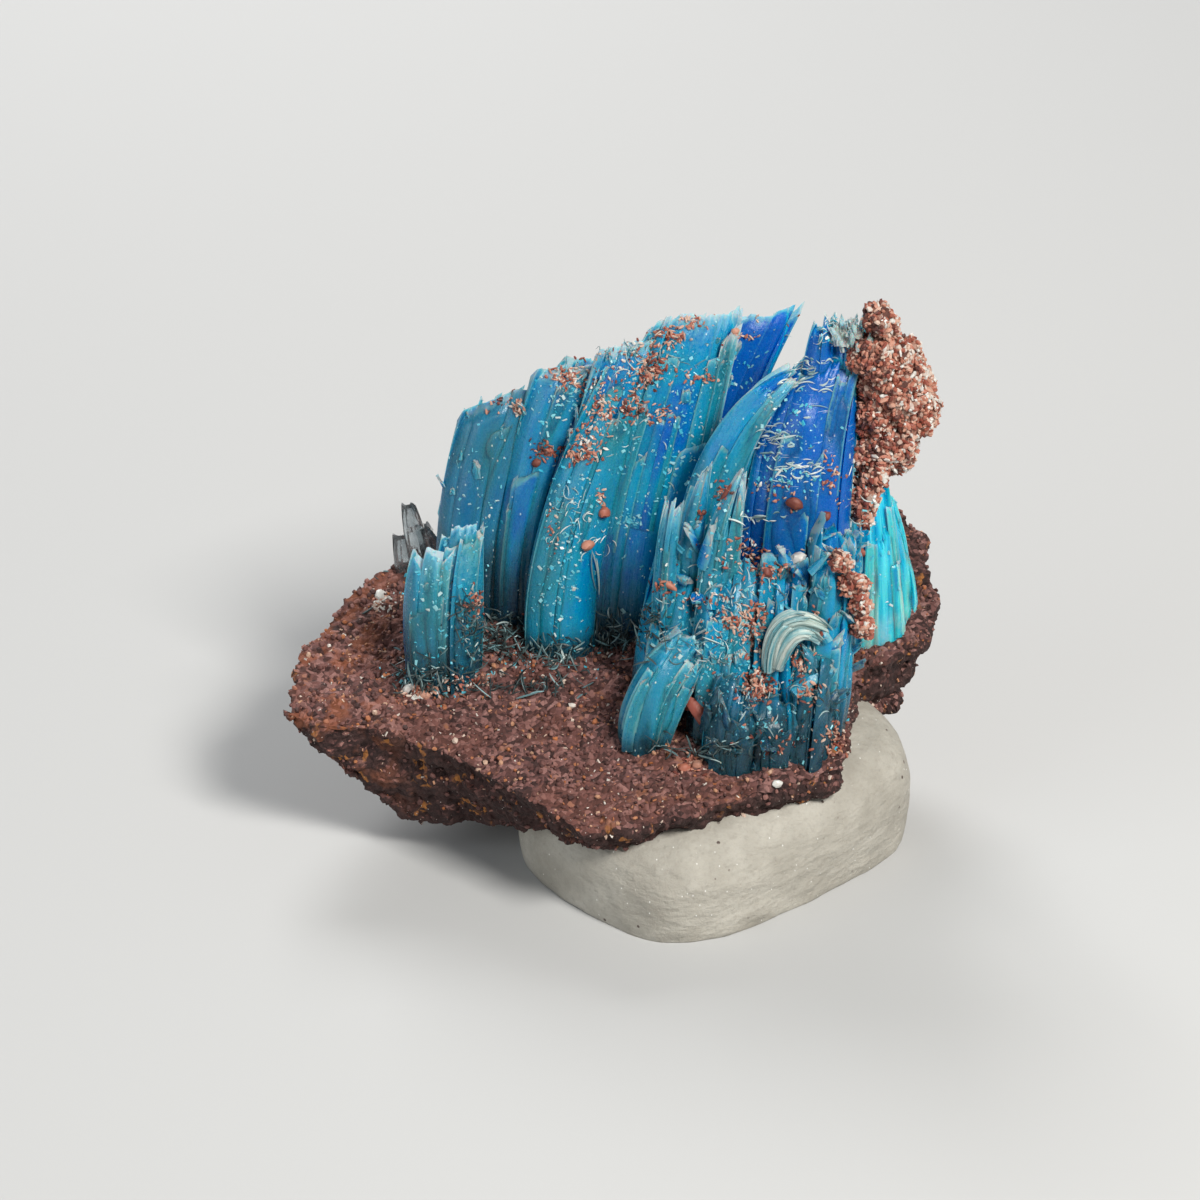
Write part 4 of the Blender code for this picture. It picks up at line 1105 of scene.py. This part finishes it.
def strewn(tree, patches, chance, crowd=1.0):
    """Places and normals under patches of the photograph, and which patch each came from.

    crowd multiplies the number of bits in every patch.
    """
    places, normals, sources = [], [], []
    for number, (across, down, wide, tall, count) in enumerate(patches):
        for _ in range(round(count * crowd)):
            spot = chance.normal(0, 0.6, 2) * (wide, tall)
            place, normal = seen_at(tree, across + spot[0], down + spot[1])
            if place is not None:
                places.append(place)
                normals.append(normal)
                sources.append(number)
    return np.array(places), np.array(normals), np.array(sources)


def fibres(name, places, turns, lengths, widths, bends, tones):
    """A mesh of bent needles, their long way along each turn's x axis. Lengths in mm."""
    swell = np.array([0.3, 0.8, 1.0, 1.0, 0.95, 0.7, 0.15])[None, :, None]
    rings = swell.size
    ring = np.linspace(-1, 1, rings)[None, :, None]
    corner = np.array([(1, 0), (0, 1), (-1, 0), (0, -1)], float)
    length, width, bend = (value[:, None, None] for value in (lengths, widths, bends))
    x = ring * length / 2 + 0 * corner[:, 0]
    y = width / 2 * swell * corner[:, 0] + bend * length * (1 - ring**2)
    z = width / 2 * swell * corner[:, 1] + 0.2 * bend * length * (1 - ring**2)
    shape = np.stack(np.broadcast_arrays(x, y, z), -1).reshape(len(places), -1, 3) * MM
    points = np.einsum("nij,nkj->nki", turns, shape) + places[:, None, :]
    faces = [[4 * r + c, 4 * r + (c + 1) % 4, 4 * r + 4 + (c + 1) % 4, 4 * r + 4 + c]
             for r in range(rings - 1) for c in range(4)]
    size = 4 * rings
    faces += [[3, 2, 1, 0], [size - 4, size - 3, size - 2, size - 1]]
    starts = np.arange(len(places))[:, None, None] * size
    faces = (np.array(faces)[None] + starts).reshape(-1, 4)
    return mesh_of(name, points.reshape(-1, 3), faces, 50, tone=np.repeat(tones, size))


def on_back(pieces, count, chance, low=8.0):
    """Random places on the sides of some pieces that face away from the photograph's camera."""
    places, normals = [], []
    for piece in pieces:
        where, which_way = scattered(piece.data, count, chance, lambda p, n: (
            (n[:, 1] > 0.25) * (p[:, 2] > low) + 1e-9))
        places.append(where)
        normals.append(which_way)
    return np.concatenate(places), np.concatenate(normals)


BACK_GRAINS, BACK_CHIPS, BACK_FIBRES = 260, 170, 320
crystals = (left_sheaf, main_fan, crest, back_blade, right_block, right_blades, splinters, far_slab)
specimen = search_tree(slab, crust_cap, crust_strip, *crystals)
chance = np.random.default_rng(31)

# Each patch: place across and down in the photograph, how wide and tall it is, how many bits.
# A patch of grains also has the tones from dark rust, 0, to cream, 1, and the grains' size.
GRAIN_PATCHES = [
    ((567, 378, 16, 9, 80), 0.35, 0.75, 0.36), ((592, 354, 14, 5, 22), 0.3, 0.7, 0.30),
    ((650, 368, 12, 15, 95), 0.10, 0.55, 0.36), ((632, 404, 15, 13, 85), 0.15, 0.60, 0.34),
    ((600, 410, 10, 22, 80), 0.35, 0.70, 0.30), ((588, 442, 14, 16, 70), 0.35, 0.75, 0.30),
    ((582, 456, 13, 7, 45), 0.20, 0.65, 0.34), ((672, 336, 13, 8, 60), 0.25, 0.60, 0.42),
    ((694, 322, 13, 7, 35), 0.35, 0.70, 0.30), ((662, 412, 11, 7, 32), 0.35, 0.75, 0.28),
    ((700, 378, 14, 6, 30), 0.30, 0.60, 0.28), ((498, 398, 13, 14, 34), 0.10, 0.45, 0.28),
    ((518, 408, 5, 8, 30), 0.45, 0.70, 0.36), ((640, 345, 30, 12, 60), 0.30, 0.90, 0.26),
    ((620, 380, 40, 26, 90), 0.25, 0.95, 0.22), ((548, 452, 12, 8, 60), 0.0, 0.30, 0.30),
    ((601, 496, 4, 14, 22), 0.30, 0.60, 0.28), ((552, 530, 6, 24, 26), 0.35, 0.80, 0.24),
    ((722, 494, 7, 14, 26), 0.05, 0.40, 0.26), ((700, 515, 4, 5, 8), 0.05, 0.35, 0.26),
    ((745, 550, 20, 12, 60), 0.25, 0.80, 0.30), ((768, 572, 20, 9, 60), 0.15, 0.60, 0.32),
    ((775, 492, 22, 16, 22), 0.30, 0.75, 0.24), ((832, 476, 8, 30, 34), 0.30, 0.70, 0.30),
    ((733, 622, 14, 9, 45), 0.25, 0.60, 0.36), ((756, 616, 10, 12, 50), 0.25, 0.55, 0.38),
    ((752, 642, 12, 12, 45), 0.30, 0.75, 0.32), ((757, 686, 13, 13, 130), 0.12, 0.62, 0.38),
    ((802, 664, 10, 12, 45), 0.15, 0.60, 0.30), ((815, 624, 8, 12, 30), 0.15, 0.50, 0.36),
    ((806, 692, 14, 12, 40), 0.25, 0.60, 0.30), ((834, 738, 10, 16, 55), 0.15, 0.60, 0.34),
    ((780, 740, 40, 14, 40), 0.05, 0.45, 0.26), ((665, 585, 10, 5, 14), 0.25, 0.45, 0.40),
    ((745, 336, 8, 4, 12), 0.40, 0.65, 0.30), ((757, 318, 4, 4, 6), 0.50, 0.80, 0.26),
    ((474, 600, 7, 14, 45), 0.15, 0.60, 0.30), ((700, 600, 26, 12, 34), 0.30, 0.90, 0.28),
    ((735, 590, 60, 40, 45), 0.10, 0.95, 0.22), ((740, 670, 60, 40, 35), 0.10, 0.95, 0.22),
    ((420, 692, 16, 8, 90), 0.35, 0.95, 0.34), ((382, 602, 8, 12, 60), 0.60, 1.00, 0.34),
    ((462, 684, 20, 8, 50), 0.20, 0.95, 0.30), ((690, 765, 10, 8, 60), 0.20, 0.50, 0.36),
]
places, normals, sources = strewn(specimen, [patch for patch, _, _, _ in GRAIN_PATCHES], chance, 1.1)
low_tone, high_tone, size = (np.array([row[k] for row in GRAIN_PATCHES])[sources] for k in (1, 2, 3))
back_places, back_normals = on_back(
    (main_fan, right_block, right_blades, back_blade), BACK_GRAINS, chance)
places, normals = np.concatenate([places, back_places]), np.concatenate([normals, back_normals])
more = len(back_places)
tones = chance.uniform(low_tone - 0.15, high_tone + 0.22)
tones = np.clip(np.concatenate([tones, chance.beta(2, 2, more)]), 0, 1)
length = np.concatenate([size, np.full(more, 0.28)]) * chance.uniform(0.5, 1.5, len(places))
thin = chance.uniform(0.25, 0.6, (2, len(places))) * np.minimum(length, 0.34)
sizes = np.stack([length, thin[0], thin[1]], 1)
seats = places + normals * sizes[:, 2:] * 0.3 * MM
turns = lying(normals, chance, 0.6)
mesh = loose_bits("rust_grains", seats, turns, sizes, tones, chance)
add_piece("rust_grains", mesh, crust_grain, "crust")

# Beads and slivers that stand out one by one: place in the photograph, size in mm, tone, and
# the turn of the long way, in degrees up from the horizontal.
SINGLE_BITS = [
    ((603, 512), (0.75, 0.65, 0.55), 0.34, 0), ((587, 545), (0.80, 0.60, 0.50), 0.50, 20),
    ((795, 503), (1.00, 0.70, 0.50), 0.10, -15), ((799, 562), (0.95, 0.85, 0.70), 0.90, 0),
    ((826, 516), (0.60, 0.50, 0.40), 0.15, 60), ((766, 573), (0.70, 0.50, 0.45), 0.12, -30),
    ((668, 584), (1.20, 0.40, 0.30), 0.45, -25), ((700, 714), (2.60, 0.75, 0.45), 0.22, -52),
    ((690, 700), (1.30, 0.60, 0.40), 0.30, -40), ((815, 622), (0.60, 0.50, 0.45), 0.20, 10),
    ((781, 652), (0.90, 0.25, 0.20), 0.85, -12), ((703, 512), (0.35, 0.30, 0.25), 0.05, 0),
    ((537, 463), (0.60, 0.45, 0.30), 0.08, 40), ((727, 492), (1.10, 0.35, 0.22), 0.12, 55),
    ((684, 770), (0.70, 0.60, 0.50), 0.40, 0), ((697, 765), (0.60, 0.50, 0.45), 0.55, 30),
    ((410, 690), (0.80, 0.60, 0.50), 0.95, 20), ((425, 694), (0.70, 0.55, 0.50), 0.60, -30),
    ((379, 596), (0.80, 0.55, 0.45), 0.98, 70), ((777, 783), (0.60, 0.45, 0.35), 0.98, 0),
    ((735, 331), (0.50, 0.40, 0.30), 0.55, 0), ((862, 552), (0.60, 0.50, 0.40), 0.30, 0),
]
found = [seen_at(specimen, *spot) for spot, _, _, _ in SINGLE_BITS]
places = np.array([place for place, _ in found])
normals = np.array([normal for _, normal in found])
angles = np.radians([turn for _, _, _, turn in SINGLE_BITS])
sizes = np.array([size for _, size, _, _ in SINGLE_BITS])
along = np.stack([np.cos(angles), 0 * angles, np.sin(angles)], 1)
seats = places + normals * sizes[:, 2:] * 0.25 * MM
bits = ball_of_faces(2)
points, faces = copies(bits, lying(normals, chance, 0.1, along), sizes / 2 * MM, seats, chance, 0.14)
tones = np.repeat([tone for _, _, tone, _ in SINGLE_BITS], len(bits[0]))
mesh = mesh_of("beads_and_slivers", points, faces, 40, tone=tones)
add_piece("beads_and_slivers", mesh, crust_grain, "crust")

# Pale chips: splinters of dried crystal, whose flat sides glint.
chip_paint, w = new_material("pale_chips")
tone = w.stored("tone")
set_surface(w, {
    "Base Color": tone.ramp((0.0, (0.02, 0.42, 0.62)), (0.4, (0.16, 0.52, 0.60)),
                            (0.8, (0.50, 0.64, 0.64)), (1.0, (0.74, 0.76, 0.72))),
    "Roughness": 0.18 + 0.3 * w.noise(w.place(), 5.0),
    "Normal": w.noise(w.place(), 9.0, 2.0).bump(0.3, 0.03),
    "IOR": 1.53,
    "Subsurface Weight": 0.3,
    "Subsurface Radius": (0.3 * MM, 0.4 * MM, 0.5 * MM),
    "Subsurface Scale": 1.0,
})
CHIP_PATCHES = [
    (570, 520, 26, 50, 150), (625, 521, 14, 6, 34), (640, 470, 50, 90, 190), (690, 420, 20, 70, 90),
    (560, 590, 24, 40, 110), (640, 360, 60, 30, 150), (560, 400, 40, 26, 110), (480, 520, 26, 80, 60),
    (720, 520, 26, 40, 60), (440, 600, 30, 60, 150), (790, 420, 30, 60, 120), (780, 480, 40, 14, 60),
    (730, 600, 70, 30, 190), (720, 660, 60, 50, 300), (790, 720, 40, 30, 50), (870, 540, 20, 60, 90),
    (740, 370, 30, 30, 40), (520, 660, 60, 16, 90), (420, 680, 30, 16, 60), (832, 322, 12, 16, 120),
]
places, normals, _ = strewn(specimen, CHIP_PATCHES, chance)
back_places, back_normals = on_back(
    (main_fan, right_block, right_blades, far_slab, left_sheaf), BACK_CHIPS, chance)
places, normals = np.concatenate([places, back_places]), np.concatenate([normals, back_normals])
length = 0.07 + 0.22 * chance.random(len(places)) ** 2
sizes = np.stack([length, length * chance.uniform(0.25, 0.7, len(places)),
                  length * chance.uniform(0.15, 0.4, len(places))], 1)
points, faces = copies(chip_base, lying(normals, chance, 0.4), sizes / 2 * MM, places, chance, 0.3)
tones = np.repeat(chance.beta(1.1, 1.9, len(places)), len(chip_base[0]))
add_piece("pale_chips", mesh_of("pale_chips", points, faces, tone=tones), chip_paint, "pale_green_crystal")

# Fibres: white ones that lie on the crystals, and dark dry ones tangled round their feet.
fibre_paint, w = new_material("dry_fibres")
tone = w.stored("tone")
set_surface(w, {
    "Base Color": tone.ramp((0.0, (0.018, 0.026, 0.027)), (0.35, (0.055, 0.085, 0.085)),
                            (0.6, (0.16, 0.29, 0.31)), (0.8, (0.48, 0.58, 0.56)), (1.0, (0.74, 0.74, 0.70))),
    "Roughness": 0.35 + 0.3 * w.noise(w.place(), 5.0),
    "Normal": w.noise(w.place(), 12.0, 2.0).bump(0.3, 0.03),
})
LYING_FIBRES = [
    ((572, 520, 20, 26, 26), 0.55, 1.0), ((600, 545, 10, 12, 8), 0.7, 1.0),
    ((800, 470, 26, 10, 30), 0.7, 1.0), ((755, 520, 22, 6, 16), 0.6, 1.0),
    ((775, 440, 30, 14, 34), 0.6, 0.95), ((806, 372, 22, 34, 46), 0.6, 0.95),
    ((640, 420, 40, 60, 20), 0.5, 0.9), ((700, 640, 40, 24, 50), 0.3, 0.9),
    ((750, 600, 50, 30, 60), 0.3, 0.9), ((780, 690, 40, 40, 60), 0.2, 0.8),
    ((650, 350, 50, 20, 40), 0.4, 0.8), ((860, 520, 14, 50, 20), 0.5, 0.9),
    ((832, 318, 12, 14, 40), 0.8, 1.0),
]
# The third to the sixth patch lie on the tall block, whose fibres are thicker and lie level.
BLOCK_PATCHES = (2, 3, 4, 5)
BLOCK_THICKER = 1.4
places, normals, sources = strewn(specimen, [patch for patch, _, _ in LYING_FIBRES], chance)
low_tone, high_tone = (np.array([row[k] for row in LYING_FIBRES])[sources] for k in (1, 2))
on_block = np.isin(sources, BLOCK_PATCHES)
along = chance.normal(size=normals.shape)
along[on_block] = (1.0, 0.0, 0.1) + 0.2 * along[on_block]
lengths = 0.3 + 0.9 * chance.random(len(places)) ** 1.5
widths = chance.uniform(0.04, 0.09, len(places)) * np.where(on_block, BLOCK_THICKER, 1.0)
turns = lying(normals, chance, 0.15, along)
mesh = fibres("white_fibres", places + normals * 0.03 * MM, turns, lengths, widths,
              chance.normal(0.0, 0.22, len(places)), chance.uniform(low_tone, high_tone))
add_piece("white_fibres", mesh, fibre_paint, "pale_green_crystal")

# Three strands hang twisted together below a bead on the fan, and a needle lies on the cluster.
STRANDS = [((594, 572), 3.1, 0.13, 0.05, 0.72, -72), ((593, 570), 2.8, 0.10, -0.06, 0.55, -76),
           ((596, 576), 2.6, 0.11, 0.02, 0.85, -68), ((703, 632), 2.0, 0.13, 0.0, 1.0, 12),
           ((700, 626), 1.3, 0.09, 0.04, 0.9, 30), ((712, 640), 1.1, 0.08, 0.0, 0.8, -20)]
found = [seen_at(specimen, *spot) for spot, _, _, _, _, _ in STRANDS]
places = np.array([place for place, _ in found])
normals = np.array([normal for _, normal in found])
lengths, widths, bends, tones, angles = (np.array([row[k] for row in STRANDS]) for k in range(1, 6))
along = np.stack([np.cos(np.radians(angles)), 0 * angles, np.sin(np.radians(angles))], 1)
mesh = fibres("long_strands", places + normals * 0.12 * MM, lying(normals, chance, 0.02, along),
              lengths, widths, bends, tones)
add_piece("long_strands", mesh, fibre_paint, "pale_green_crystal")

# The tangle at the crystals' feet is short dark hairs that point every way, a little off the rock.
TANGLE_LIFT = 0.2 * MM
FOOT_TANGLES = [
    (500, 640, 34, 22, 210), (560, 655, 30, 14, 130), (620, 640, 26, 18, 170), (430, 680, 30, 16, 120),
    (465, 620, 12, 26, 70), (655, 620, 12, 20, 60), (700, 750, 40, 10, 80), (520, 690, 60, 10, 90),
]
places, normals, sources = strewn(specimen, FOOT_TANGLES, chance, 0.8)
back_places, back_normals = scattered(slab.data, BACK_FIBRES, chance, lambda p, n: (
    (n[:, 2] > 0.5) * np.exp(-((p[:, 0] + 6) / 8) ** 2 - ((p[:, 1] - 11.5) / 2.2) ** 2) + 1e-9))
places, normals = np.concatenate([places, back_places]), np.concatenate([normals, back_normals])
lengths = 0.35 + 1.3 * chance.random(len(places)) ** 2
turns = random_turns(len(places), chance)
places = places + (0.0, 0.0, TANGLE_LIFT) + normals * (0.12 * lengths * MM)[:, None]
mesh = fibres("foot_tangle", places, turns, lengths, chance.uniform(0.05, 0.13, len(places)),
              chance.normal(0, 0.15, len(places)), chance.beta(0.9, 2.4, len(places)))
add_piece("foot_tangle", mesh, fibre_paint, "pale_green_crystal")
